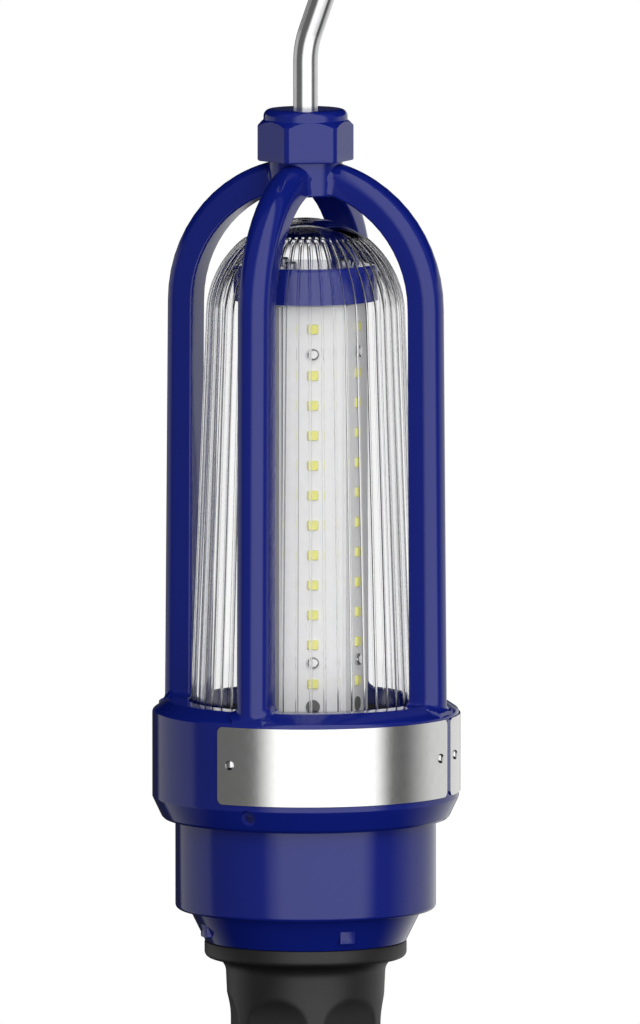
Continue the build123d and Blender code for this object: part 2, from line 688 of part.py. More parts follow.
def driver_standoffs():
    """Hexagonal pillars with a stud below and a tapped hole above."""
    solids = []
    for angle in STANDOFF_AT:
        x, y = next(polar_places(1, STANDOFF_CIRCLE_R, angle))
        pillar = extrude(RegularPolygon(STANDOFF_R, 6), DRIVER_Z[0] - CAVITY_FLOOR_Z)
        pillar = Pos(x, y, CAVITY_FLOOR_Z) * pillar
        pillar -= rod(M3_HOLE_R, DRIVER_Z[0] - STANDOFF_TAP, DRIVER_Z[0], x, y)
        pillar += rod(M3_R, CAVITY_FLOOR_Z - STANDOFF_STUD, CAVITY_FLOOR_Z, x, y)
        solids.append(pillar.solid())
    return Compound(solids)


def driver_screws():
    one = Pos(0, 0, DRIVER_Z[1]) * screw(M3_HEAD_R, M3_HEAD_H, M3_R, 4.5)
    places = [next(polar_places(1, STANDOFF_CIRCLE_R, angle)) for angle in STANDOFF_AT]
    return Compound([(Pos(x, y, 0) * one).solid() for x, y in places])


def driver_transformer():
    """Ferrite core with a bobbin winding."""
    top = DRIVER_Z[1]
    low, high = top + CORE_LEG, top + CORE_H - CORE_LEG
    core = block(CORE_X, CORE_Y, (top, top + CORE_H))
    window = block(CORE_X, WINDOW_Y, (low, high))
    winding = block(WINDING_X, WINDING_Y, (low + WINDING_GAP, high - WINDING_GAP))
    return (core - window) + winding


def driver_capacitors():
    """Two electrolytic capacitors with a pressed groove near the foot."""
    top = DRIVER_Z[1]
    solids = []
    groove_low, groove_high = (top + height for height in CAPACITOR_GROOVE_Z)
    groove = ring(CAPACITOR_R + 0.5, CAPACITOR_GROOVE_R, groove_low, groove_high)
    for x, y in CAPACITOR_AT:
        can = rod(CAPACITOR_R, top, top + CAPACITOR_H)
        can = fillet(can.edges().group_by(Axis.Z)[-1], CAPACITOR_ROUND)
        solids.append((Pos(x, y, 0) * (can - groove)).solid())
    return Compound(solids)


def driver_inductor():
    """Toroidal choke lying on the board."""
    return Pos(*CHOKE_AT, DRIVER_Z[1] + CHOKE_SECTION_R) * Torus(CHOKE_R, CHOKE_SECTION_R)


def terminal_ways():
    """Middle of each way of the terminal block, in plan."""
    middle = sum(TERMINAL_X) / 2
    return [(middle, TERMINAL_FIRST_Y + TERMINAL_PITCH * step) for step in range(TERMINAL_WAYS)]


def terminal_block():
    """Three-way screw terminal block."""
    foot = DRIVER_Z[1]
    top = foot + TERMINAL_H
    depth, width = TERMINAL_MOUTH
    mouth_z = (foot + TERMINAL_MOUTH_Z[0], foot + TERMINAL_MOUTH_Z[1])
    body = block(TERMINAL_X, TERMINAL_Y, (foot, top))
    for x, y in terminal_ways():
        body -= rod(TERMINAL_WELL_R, top - TERMINAL_WELL_DEPTH, top, x, y)
        body -= block((TERMINAL_X[1] - depth, TERMINAL_X[1]), (y - width / 2, y + width / 2), mouth_z)
    return body


def terminal_screws():
    """Clamp screws in the terminal block."""
    foot = DRIVER_Z[1] + TERMINAL_H - TERMINAL_WELL_DEPTH
    top = foot + TERMINAL_SCREW_H
    half = TERMINAL_SLOT[0] / 2
    body = rod(TERMINAL_SCREW_R, foot, top)
    body -= block((-TERMINAL_WELL_R, TERMINAL_WELL_R), (-half, half), (top - TERMINAL_SLOT[1], top))
    return Compound([(Pos(x, y, 0) * body).solid() for x, y in terminal_ways()])


def earth_screw():
    x, y = next(polar_places(1, STANDOFF_CIRCLE_R, EARTH_SCREW_AT))
    return Pos(x, y, CAVITY_FLOOR_Z + EARTH_LUG_T) * screw(EARTH_HEAD_R, M3_HEAD_H, M3_R, 6.0)


def earth_lug():
    """Ring terminal under the earth screw, with a crimp that stands up for the lead."""
    low, high = CAVITY_FLOOR_Z, CAVITY_FLOOR_Z + EARTH_LUG_T
    screw_at = next(polar_places(1, STANDOFF_CIRCLE_R, EARTH_SCREW_AT))
    lead_at = next(polar_places(1, STANDOFF_CIRCLE_R, EARTH_LEAD_AT))
    middle = (EARTH_SCREW_AT + EARTH_LEAD_AT) / 2
    reach = STANDOFF_CIRCLE_R * sin(radians((EARTH_SCREW_AT - EARTH_LEAD_AT) / 2))
    sides = (-STANDOFF_CIRCLE_R - EARTH_TONGUE[1], -STANDOFF_CIRCLE_R - EARTH_TONGUE[0])
    tongue = block((-reach, reach), sides, (low, high))
    body = rod(EARTH_LUG_R, low, high, *screw_at) + facing(middle, tongue)
    body += rod(EARTH_CRIMP_R, low, high + EARTH_CRIMP_H, *lead_at)
    body -= rod(LEAD_R + FIT, high, high + EARTH_CRIMP_H, *lead_at)
    return body - rod(M3_HOLE_R, low, high, *screw_at)


def earth_lead():
    """Short earth wire from the lug up to the terminal block."""
    x, y = next(polar_places(1, STANDOFF_CIRCLE_R, EARTH_LEAD_AT))
    level = DRIVER_Z[1] + EARTH_LEAD_RISE
    points = [(x, y, CAVITY_FLOOR_Z + EARTH_LUG_T), (x, y, level), (x, TERMINAL_Y[0], level)]
    path = FilletPolyline(*points, radius=LEAD_BEND_R)
    return sweep(Plane(origin=points[0], z_dir=(0, 0, 1)) * Circle(LEAD_R), path=path)


def handle_tube():
    """Metal tube through the handle, with a wide threaded nipple at the top."""
    return turned(
        (TUBE_BORE_R, NIPPLE_TOP_Z),
        (NIPPLE_R, NIPPLE_TOP_Z),
        (NIPPLE_R, CONE_BASE_Z),
        (TUBE_R, CONE_BASE_Z),
        (TUBE_R, HANDLE_BASE_Z),
        (TUBE_BORE_R, HANDLE_BASE_Z),
    )


def flute_cutter():
    """Flat-floored groove on the -Y side whose two ends run out on a large radius."""
    low, high = FLUTE_Z
    far = -(FLUTE_FLOOR + FLUTE_END_R)
    floor = Line((-FLUTE_FLOOR, low), (-FLUTE_FLOOR, high))
    top = CenterArc((far, high), FLUTE_END_R, 0, 90)
    back = Line((far, high + FLUTE_END_R), (far, low - FLUTE_END_R))
    foot = CenterArc((far, low), FLUTE_END_R, -90, 90)
    return extrude(Plane.YZ * make_face([floor, top, back, foot]), 16, both=True)


def handle_grip():
    """Moulded grip: a flange under the barrel, a fluted waist and a swollen end."""
    corner = GRIP_NECK_R + GRIP_COVE_R
    cove_z = GRIP_FLANGE_Z - GRIP_COVE_R
    end_z = HANDLE_BASE_Z + GRIP_END_H
    head = Polyline((TUBE_R + FIT, CONE_BASE_Z), (GRIP_FLANGE_R, CONE_BASE_Z), (GRIP_FLANGE_R, GRIP_FLANGE_Z))
    underside = Line((GRIP_FLANGE_R, GRIP_FLANGE_Z), (corner, GRIP_FLANGE_Z))
    cove = CenterArc((corner, cove_z), GRIP_COVE_R, 90, 90)
    side = Spline(
        (GRIP_NECK_R, cove_z),
        (GRIP_NECK_R - 0.3, FLUTE_Z[1] + 10),
        (GRIP_WAIST_R, GRIP_WAIST_Z),
        (GRIP_END_R, end_z),
        tangents=[(0, -1), (0, -1)],
    )
    end = JernArc(side @ 1, (0, -1), GRIP_END_ROUND, -90)
    base = Polyline(end @ 1, ((end @ 1).X, HANDLE_BASE_Z), (TUBE_R + FIT, HANDLE_BASE_Z))
    bore = Line((TUBE_R + FIT, HANDLE_BASE_Z), (TUBE_R + FIT, CONE_BASE_Z))
    outline = make_face([head, underside, cove, side, end, base, bore])
    body = revolve(Plane.XZ * outline, Axis.Z)
    body = fillet(circles(body, GRIP_FLANGE_R)[0], GRIP_FLANGE_ROUND)
    for step in range(FLUTE_COUNT):
        body -= facing(360 * step / FLUTE_COUNT, flute_cutter())
    return body


def gland_body():
    """Cable gland screwed into the foot of the handle tube; its flange holds the grip up."""
    spigot = rod(TUBE_BORE_R - FIT, HANDLE_BASE_Z, GLAND_SPIGOT_Z)
    flange = hexagon(GLAND_FLANGE_AF, GLAND_FLANGE_Z, HANDLE_BASE_Z)
    flange &= turned(
        (0, HANDLE_BASE_Z),
        (GLAND_FLANGE_AF / 2 + GLAND_CHAMFER, HANDLE_BASE_Z),
        (GLAND_FLANGE_AF / 2 + GLAND_CHAMFER, GLAND_FLANGE_Z + GLAND_CHAMFER),
        (GLAND_FLANGE_AF / 2, GLAND_FLANGE_Z),
        (0, GLAND_FLANGE_Z),
    )
    body = spigot + flange + rod(GLAND_NECK_R, GLAND_NECK_Z, GLAND_FLANGE_Z)
    body -= rod(GLAND_BORE_R, GLAND_SEAT_Z, GLAND_SPIGOT_Z)
    return body - rod(GLAND_SEAT_R, GLAND_NECK_Z, GLAND_SEAT_Z)


def gland_bush():
    """Rubber bush that grips the cable."""
    return ring(GLAND_SEAT_R - FIT, BUSH_BORE_R, BUSH_BASE_Z, GLAND_SEAT_Z)


def gland_washer():
    return ring(GLAND_SEAT_R - FIT, GLAND_WASHER_BORE_R, GLAND_NECK_Z, BUSH_BASE_Z)


def gland_nut():
    """Compression nut, hexagonal above and rounded towards the cable."""
    mouth = GLAND_NUT_BASE_Z
    corner_r = GLAND_NUT_AF / sqrt(3)
    nose_in, nose_h = GLAND_NUT_NOSE
    body = hexagon(GLAND_NUT_AF, mouth, GLAND_NUT_TOP_Z)
    body &= turned(
        (0, GLAND_NUT_TOP_Z),
        (GLAND_NUT_AF / 2 + GLAND_NUT_CHAMFER_R, GLAND_NUT_TOP_Z),
        (corner_r, GLAND_NUT_TOP_Z - GLAND_CHAMFER),
        (corner_r, mouth + nose_h),
        (GLAND_NUT_AF / 2 - nose_in, mouth),
        (0, mouth),
    )
    body -= rod(GLAND_NECK_R + FIT, GLAND_NECK_Z - FIT, GLAND_NUT_TOP_Z)
    return body - rod(GLAND_NUT_LIP_R, mouth, GLAND_NECK_Z)


def gasket(low):
    return ring(GASKET_R, GASKET_INNER_R, low, low + GASKET_T)


nodes = {
    "hook_rod": hook_rod(),
    "hook_collar": hook_collar(),
    "hook_pin": hook_pin(),
    "hex_cap": hex_cap(),
    "thrust_washer": thrust_washer(),
    "spring_washer": spring_washer(),
    "guard_casting": guard_casting(),
    "collar_set_screws": collar_set_screws(),
    "nameplate_front": nameplate(PLATE_FRONT_START),
    "nameplate_side": nameplate(PLATE_SIDE_START),
    "nameplate_rivets": nameplate_rivets(),
    "globe": globe(),
    "globe_gasket_upper": gasket(GLOBE_FLANGE_Z[1]),
    "globe_gasket_lower": gasket(GLOBE_FLANGE_Z[0] - GASKET_T),
    "globe_retaining_ring": globe_retaining_ring(),
    "tower_heatsink": tower_heatsink(),
    "tower_cap": tower_cap(),
    "tower_cap_screws": tower_cap_screws(),
    "tower_base": tower_base(),
    "tower_foot_screws": tower_foot_screws(),
    "tower_base_screws": tower_base_screws(),
    "board_screws": board_screws(),
    "board_grommets": board_grommets(),
    "board_leads": board_leads(),
    "barrel_housing": barrel_housing(),
    "barrel_oring": barrel_oring(),
    "driver_board": driver_board(),
    "driver_standoffs": driver_standoffs(),
    "driver_screws": driver_screws(),
    "driver_transformer": driver_transformer(),
    "driver_capacitors": driver_capacitors(),
    "driver_inductor": driver_inductor(),
    "terminal_block": terminal_block(),
    "terminal_screws": terminal_screws(),
    "earth_screw": earth_screw(),
    "earth_lug": earth_lug(),
    "earth_lead": earth_lead(),
    "handle_tube": handle_tube(),
    "handle_grip": handle_grip(),
    "gland_body": gland_body(),
    "gland_bush": gland_bush(),
    "gland_washer": gland_washer(),
    "gland_nut": gland_nut(),
}
for number, angle in enumerate(board_places(), start=1):
    nodes[f"led_board_{number}"] = facing(angle, led_board())
    nodes[f"led_chips_{number}"] = facing(angle, led_chips())

os.makedirs("parts", exist_ok=True)
for name, piece in nodes.items():
    export_step(piece, f"parts/{name}.step")
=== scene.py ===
"""Looks for the caged LED work light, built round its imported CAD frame.

Metres, +Z up.  The pieces' sizes are in millimetres, with heights measured from the centre of the
guard arms' arches.  Angles grow from -Y towards +X, as they do in the CAD source.
"""

import json
import math

import bmesh
import bpy
from mathutils import Matrix, Vector


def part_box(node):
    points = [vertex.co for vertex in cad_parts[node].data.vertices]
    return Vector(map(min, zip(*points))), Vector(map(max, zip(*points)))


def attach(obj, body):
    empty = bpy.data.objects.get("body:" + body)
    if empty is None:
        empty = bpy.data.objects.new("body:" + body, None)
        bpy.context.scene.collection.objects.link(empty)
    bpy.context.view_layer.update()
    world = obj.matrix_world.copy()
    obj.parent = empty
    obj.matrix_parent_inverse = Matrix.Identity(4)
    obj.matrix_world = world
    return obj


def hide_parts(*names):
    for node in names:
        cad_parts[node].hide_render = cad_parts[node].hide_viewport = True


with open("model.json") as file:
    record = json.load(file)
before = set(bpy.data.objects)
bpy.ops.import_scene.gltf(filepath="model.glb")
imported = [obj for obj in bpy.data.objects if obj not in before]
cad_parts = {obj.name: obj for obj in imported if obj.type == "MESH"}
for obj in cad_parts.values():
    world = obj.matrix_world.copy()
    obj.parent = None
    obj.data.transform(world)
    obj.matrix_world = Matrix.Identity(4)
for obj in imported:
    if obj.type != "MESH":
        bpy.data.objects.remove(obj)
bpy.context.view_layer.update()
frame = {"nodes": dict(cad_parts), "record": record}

MM = 0.001
ARCH_Z = -174.7

# The camera, the softboxes and the floor stand in the frame itself: distances and sizes are in
# metres, and the points aimed at in millimetres.
CAMERA_AZIMUTH = 22.5
CAMERA_ELEVATION = 6.0
CAMERA_LENS = 800.0
CAMERA_DISTANCE = 7.41
CAMERA_AIM_Z = -242.5
CAMERA_AIM_RIGHT = 4.7
FLOOR_Z = -0.56
FLOOR_R = 0.85
FLOOR_SEGMENTS = 96


# ---------------------------------------------------------------- mesh making

class Shell:
    """Rings of points, and the faces between them."""

    def __init__(self):
        self.points = []
        self.faces = []
        self.face_materials = []

    def ring(self, points):
        first = len(self.points)
        self.points.extend(points)
        return list(range(first, len(self.points)))

    def face(self, corners, material=0):
        self.faces.append(corners)
        self.face_materials.append(material)

    def bridge(self, lower, upper, material=0):
        for i in range(len(lower)):
            j = (i + 1) % len(lower)
            self.face((lower[i], lower[j], upper[j], upper[i]), material)

    def tube(self, rings):
        """Rings bridged in turn, and a flat face at each end."""
        for lower, upper in zip(rings, rings[1:]):
            self.bridge(lower, upper)
        self.face(list(reversed(rings[0])))
        self.face(rings[-1])

    def fan(self, ring, centre, up=True):
        tip = self.ring([centre])[0]
        for i, a in enumerate(ring):
            b = ring[(i + 1) % len(ring)]
            self.face((a, b, tip) if up else (b, a, tip))


def at(angle, radius, height):
    """Point at an angle and radius off the axis, in millimetres, as metres in the frame."""
    a = math.radians(angle)
    return Vector((radius * math.sin(a), -radius * math.cos(a), ARCH_Z + height)) * MM


def rounded(corners, steps=5):
    """Polyline through (x, y, radius) corners with an arc at each; closed."""
    line = []
    count = len(corners)
    for i, (x, y, radius) in enumerate(corners):
        here = Vector((x, y))
        before = Vector(corners[i - 1][:2]) - here
        after = Vector(corners[(i + 1) % count][:2]) - here
        if radius <= 0 or before.length < 1e-6 or after.length < 1e-6:
            line.append(here)
            continue
        half = before.angle(after) / 2
        reach = min(radius / math.tan(half), 0.49 * before.length, 0.49 * after.length)
        real = reach * math.tan(half)
        centre = here + (
            (before.normalized() + after.normalized()).normalized() * (real / math.sin(half))
        )
        start = here + before.normalized() * reach - centre
        end = here + after.normalized() * reach - centre
        turn = math.atan2(start.x * end.y - start.y * end.x, start.dot(end))
        for step in range(steps + 1):
            a = turn * step / steps
            c, s = math.cos(a), math.sin(a)
            line.append(centre + Vector((start.x * c - start.y * s, start.x * s + start.y * c)))
    return line


def arc(centre, radius, start, end, steps):
    """Points round part of a circle, between two angles in degrees."""
    for k in range(steps + 1):
        a = math.radians(start + (end - start) * k / steps)
        yield centre[0] + radius * math.cos(a), centre[1] + radius * math.sin(a)


def revolve(shell, profile, segments):
    """Closed ring swept round the axis from a closed (radius, height) profile."""
    rings = []
    for p in profile:
        rings.append(shell.ring([at(360 * k / segments, p.x, p.y) for k in range(segments)]))
    for i, ring in enumerate(rings):
        shell.bridge(ring, rings[(i + 1) % len(rings)])


def build(name, shell, body, materials, replaced=(), sharp=32.0):
    """Object from a shell, smooth but for edges sharper than an angle, riding on a body."""
    mesh = bpy.data.meshes.new(name)
    mesh.from_pydata([tuple(p) for p in shell.points], [], shell.faces)
    mesh.polygons.foreach_set("material_index", shell.face_materials)
    edit = bmesh.new()
    edit.from_mesh(mesh)
    bmesh.ops.remove_doubles(edit, verts=edit.verts, dist=1e-7)
    bmesh.ops.recalc_face_normals(edit, faces=edit.faces)
    edit.to_mesh(mesh)
    edit.free()
    mesh.shade_smooth()
    mesh.set_sharp_from_angle(angle=math.radians(sharp))
    for material in materials:
        mesh.materials.append(material)
    piece = bpy.data.objects.new(name, mesh)
    bpy.context.scene.collection.objects.link(piece)
    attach(piece, body)
    if replaced:
        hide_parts(*replaced)
    return piece


def loose(shell):
    """Plain object from a shell, with its faces turned outwards."""
    mesh = bpy.data.meshes.new("loose")
    mesh.from_pydata([tuple(p) for p in shell.points], [], shell.faces)
    edit = bmesh.new()
    edit.from_mesh(mesh)
    bmesh.ops.recalc_face_normals(edit, faces=edit.faces)
    edit.to_mesh(mesh)
    edit.free()
    thing = bpy.data.objects.new("loose", mesh)
    bpy.context.scene.collection.objects.link(thing)
    return thing


def subtract(shell, cutter):
    """Mesh of one shell less another."""
    body, tool = loose(shell), loose(cutter)
    modifier = body.modifiers.new("cut", "BOOLEAN")
    modifier.operation = "DIFFERENCE"
    modifier.solver = "EXACT"
    modifier.object = tool
    depsgraph = bpy.context.evaluated_depsgraph_get()
    result = bpy.data.meshes.new_from_object(body.evaluated_get(depsgraph))
    bpy.data.objects.remove(body)
    bpy.data.objects.remove(tool)
    return result


def merge(shell, mesh):
    """Add a mesh's points and faces to a shell."""
    first = len(shell.points)
    shell.points.extend(v.co.copy() for v in mesh.vertices)
    for polygon in mesh.polygons:
        shell.face([first + i for i in polygon.vertices])


def smooth_min(a, b, k):
    """Smaller of two, rounded where they cross."""
    h = max(k - abs(a - b), 0.0) / k
    return min(a, b) - h * h * k / 4


def ease(value, low, high):
    """Smooth step from 0 to 1 between two values."""
    t = min(max((value - low) / (high - low), 0.0), 1.0)
    return t * t * (3 - 2 * t)


# ---------------------------------------------------------------- materials

class Nodes:
    """Short hand for a material's node tree."""

    def __init__(self, name):
        self.material = bpy.data.materials.new(name)
        self.material.use_nodes = True
        self.tree = self.material.node_tree
        self.tree.nodes.clear()
        self.output = self.add("ShaderNodeOutputMaterial")
        self.shader = self.add("ShaderNodeBsdfPrincipled")
        self.join(self.shader.outputs["BSDF"], self.output.inputs["Surface"])
        self.place = self.add("ShaderNodeTexCoord").outputs["Object"]

    def add(self, kind, **settings):
        node = self.tree.nodes.new(kind)
        for key, value in settings.items():
            setattr(node, key, value)
        return node

    def join(self, source, target):
        self.tree.links.new(source, target)

    def set(self, **values):
        for key, value in values.items():
            self.shader.inputs[key.replace("_", " ")].default_value = value

    def noise(self, per_mm, stretch=(1, 1, 1)):
        """Noise with so many cells per millimetre."""
        mapping = self.add("ShaderNodeMapping")
        mapping.inputs["Scale"].default_value = tuple(1000 * per_mm * s for s in stretch)
        texture = self.add("ShaderNodeTexNoise")
        texture.inputs["Scale"].default_value = 1.0
        texture.inputs["Detail"].default_value = 3.0
        self.join(self.place, mapping.inputs["Vector"])
        self.join(mapping.outputs["Vector"], texture.inputs["Vector"])
        return texture.outputs["Fac"]

    def spread(self, source, low, high):
        """Map the middle of a noise to a range."""
        node = self.add("ShaderNodeMapRange")
        node.inputs["From Min"].default_value = 0.3
        node.inputs["From Max"].default_value = 0.7
        node.inputs["To Min"].default_value = low
        node.inputs["To Max"].default_value = high
        self.join(source, node.inputs["Value"])
        return node.outputs["Result"]

    def blend(self, source, first, second):
        """Colour between two, by a value."""
        node = self.add("ShaderNodeMix", data_type="RGBA")
        colours = [s for s in node.inputs if s.type == "RGBA"]
        colours[0].default_value = (*first, 1)
        colours[1].default_value = (*second, 1)
        self.join(source, node.inputs[0])
        return [s for s in node.outputs if s.type == "RGBA"][0]

    def bump(self, source, depth_mm):
        node = self.add("ShaderNodeBump")
        node.inputs["Strength"].default_value = 1.0
        node.inputs["Distance"].default_value = depth_mm * MM
        self.join(source, node.inputs["Height"])
        return node.outputs["Normal"]


def finish(name, colour, other=None, rough=(0.3, 0.4), metal=0.0, cell=0.3, grain=2.5, depth=0.004,
           stretch=(1, 1, 1), **values):
    """Material whose colour, roughness and surface vary at the scales given."""
    nodes = Nodes(name)
    broad = nodes.noise(cell)
    fine = nodes.noise(grain, stretch=stretch)
    mixed = nodes.blend(nodes.spread(broad, 0, 1), colour, other or colour)
    nodes.join(mixed, nodes.shader.inputs["Base Color"])
    nodes.join(nodes.spread(fine, *rough), nodes.shader.inputs["Roughness"])
    nodes.join(nodes.bump(fine, depth), nodes.shader.inputs["Normal"])
    nodes.set(Metallic=metal, **values)
    return nodes.material


BLUE = dict(rough=(0.10, 0.13), cell=0.05, grain=1.2, depth=0.0015)
blue_enamel = finish("BlueEnamel", (0.0065, 0.0155, 0.215), (0.0070, 0.0165, 0.225), IOR=1.5,
                     **BLUE)
blue_cover = finish("BlueCover", (0.0075, 0.017, 0.225), (0.0080, 0.018, 0.235), IOR=1.5, **BLUE)
bright_rod = finish("BrightRod", (0.80, 0.80, 0.81), (0.74, 0.74, 0.75), rough=(0.16, 0.20),
                    metal=1.0, grain=1.0, depth=0.0006, stretch=(1, 1, 12))
bright_plate = finish("BrightPlate", (0.84, 0.84, 0.83), (0.80, 0.80, 0.79), rough=(0.17, 0.23),
                      metal=1.0, grain=2.0, depth=0.0006, stretch=(1, 1, 0.2))
rivet_steel = finish("RivetSteel", (0.78, 0.78, 0.78), (0.70, 0.70, 0.70), rough=(0.15, 0.22),
                     metal=1.0)
zinc_steel = finish("ZincSteel", (0.62, 0.63, 0.66), (0.55, 0.56, 0.60), rough=(0.25, 0.35),
                    metal=1.0)
bronze = finish("Bronze", (0.55, 0.33, 0.15), (0.47, 0.27, 0.12), rough=(0.3, 0.45), metal=1.0)
black_oxide = finish("BlackOxide", (0.02, 0.02, 0.022), (0.035, 0.035, 0.037), rough=(0.35, 0.5),
                     metal=0.8)
nickel_brass = finish("NickelBrass", (0.66, 0.62, 0.54), (0.60, 0.56, 0.48), rough=(0.2, 0.3),
                      metal=1.0)
machined = finish("MachinedAluminium", (0.80, 0.81, 0.82), (0.74, 0.75, 0.76), rough=(0.25, 0.35),
                  metal=1.0, stretch=(1, 1, 8))
extruded = finish("ExtrudedAluminium", (0.75, 0.76, 0.77), (0.69, 0.70, 0.71), rough=(0.3, 0.42),
                  metal=1.0, stretch=(4, 4, 0.3))
grip_plastic = finish("GripPlastic", (0.012, 0.012, 0.0125), (0.016, 0.016, 0.0165),
                      rough=(0.42, 0.50), cell=0.1, grain=3.0, depth=0.012)
seal_rubber = finish("SealRubber", (0.015, 0.015, 0.015), (0.025, 0.025, 0.025), rough=(0.6, 0.8))
board_white = finish("BoardWhite", (0.86, 0.86, 0.86), (0.82, 0.82, 0.82), rough=(0.35, 0.45),
                     depth=0.002)
package_white = finish("PackageWhite", (0.80, 0.80, 0.45), (0.76, 0.76, 0.40), rough=(0.35, 0.45))
phosphor = finish("Phosphor", (0.84, 0.82, 0.13), (0.88, 0.86, 0.20), rough=(0.25, 0.35), cell=1.2)
lead_insulation = finish("LeadInsulation", (0.55, 0.02, 0.02), (0.45, 0.015, 0.015),
                         rough=(0.4, 0.5))
earth_insulation = finish("EarthInsulation", (0.05, 0.30, 0.06), (0.55, 0.50, 0.04),
                          rough=(0.4, 0.5), cell=0.2)
circuit_board = finish("CircuitBoard", (0.01, 0.11, 0.035), (0.012, 0.15, 0.045), rough=(0.25, 0.4),
                       cell=0.6)
ferrite = finish("Ferrite", (0.03, 0.03, 0.032), (0.045, 0.045, 0.047), rough=(0.5, 0.65))
capacitor_sleeve = finish("CapacitorSleeve", (0.01, 0.02, 0.06), (0.015, 0.028, 0.08),
                          rough=(0.2, 0.3))
copper_winding = finish("CopperWinding", (0.45, 0.16, 0.05), (0.60, 0.24, 0.08), rough=(0.25, 0.35),
                        metal=1.0, stretch=(0.2, 0.2, 4))
terminal_plastic = finish("TerminalPlastic", (0.03, 0.16, 0.05), (0.04, 0.20, 0.06),
                          rough=(0.35, 0.45))
clear_glass = finish("ClearGlass", (1.0, 1.0, 1.0), rough=(0.0, 0.004), cell=0.02, grain=0.05,
                     depth=0.0005, IOR=1.47, Transmission_Weight=1.0)

BY_SLOT = {
    "bright_rod": bright_rod, "zinc_steel": zinc_steel, "bronze": bronze, "blue_enamel": blue_enamel,
    "blue_cover": blue_cover, "black_oxide": black_oxide, "bright_plate": bright_plate,
    "rivet_steel": rivet_steel, "clear_glass": clear_glass, "seal_rubber": seal_rubber,
    "machined_aluminium": machined, "extruded_aluminium": extruded, "white_board": board_white,
    "led_phosphor": phosphor, "lead_insulation": lead_insulation, "earth_insulation": earth_insulation,
    "circuit_board": circuit_board, "ferrite": ferrite, "capacitor_sleeve": capacitor_sleeve,
    "copper_winding": copper_winding, "terminal_plastic": terminal_plastic,
    "grip_plastic": grip_plastic, "nickel_brass": nickel_brass,
}

for subpart in frame["record"]["subparts"]:
    carried = frame["nodes"][subpart["node"]].data
    carried.materials.clear()
    carried.materials.append(BY_SLOT[subpart["material_slot"]])


# ---------------------------------------------------------------- guard casting

COLLAR_SEGMENTS, HUB_SEGMENTS, HOLE_SEGMENTS = 288, 96, 32
ARM_INNER_R, ARM_OUTER_R, ARM_HALF = 37.8, 48.0, 5.5
ARM_INNER_DRAFT, ARM_OUTER_DRAFT = 0.27, 0.49
ARM_INNER_ROUND, ARM_OUTER_ROUND = 0.8, 5.2
ARM_COUNT = 4
HUB_R, HUB_BASE_Z, HUB_TOP_Z = 12.0, 36.0, 47.15
COLLAR_TOP, COLLAR_SHOULDER = -129.0, -132.3
SPIGOT_R, SPIGOT_TOP_Z = 10.5, 56.0
SWIVEL_POCKET_R, SWIVEL_POCKET_Z, SWIVEL_WELL_R = 7.75, 46.2, 5.05
COLLAR_R, COLLAR_RIM_R, COLLAR_LIP_R, COLLAR_LIP_Z = 50.0, 45.0, 38.0, -134.0
COLLAR_EDGE_Z, COLLAR_FOOT_R, COLLAR_FOOT_Z = -160.6, 47.0, -166.9
COLLAR_BASE_R, COLLAR_BASE_Z, COLLAR_BORE_R = 46.2, -167.7, 41.5
SET_SCREW_ANGLES, SET_SCREW_Z = (0, 180), -163.2
SET_SCREW_HOLE = ((44.0, 2.52), (48.3, 2.52), (48.8, 2.8), (52.0, 3.0))
ROOT_FILLET, HUB_FILLET = 2.4, 2.2
ROOT_LOW_R, ROOT_HIGH_R = 38.1, 49.7
HUB_FILLET_SIDE = ARM_HALF + HUB_FILLET
HUB_FILLET_X = math.sqrt((HUB_R + HUB_FILLET) ** 2 - HUB_FILLET_SIDE ** 2)


def arm_outline():
    """Section of an arm as (depth, side, depth normal, side normal), from its inner face out."""
    depth = ARM_OUTER_R - ARM_INNER_R
    corners = [
        (0, -ARM_HALF, ARM_INNER_ROUND), (depth, -ARM_HALF, ARM_OUTER_ROUND),
        (depth, ARM_HALF, ARM_OUTER_ROUND), (0, ARM_HALF, ARM_INNER_ROUND),
    ]
    line = rounded(corners, 9)
    points = []
    for i, p in enumerate(line):
        along = line[(i + 1) % len(line)] - line[i - 1]
        normal = Vector((along.y, -along.x)).normalized()
        points.append((p.x, p.y, normal.x, normal.y))
    return points


def collar_surface(radius):
    """Height of the collar's top at a radius."""
    slope = (COLLAR_SHOULDER - COLLAR_TOP) / (COLLAR_R - COLLAR_RIM_R)
    return COLLAR_TOP + max(0.0, radius - COLLAR_RIM_R) * slope


def flare(height, fillet):
    """How far a fillet stands out at a height above the surface that it meets."""
    if height >= fillet:
        return 0.0
    height = max(height, 0.0)
    return fillet - math.sqrt(fillet ** 2 - (fillet - height) ** 2)


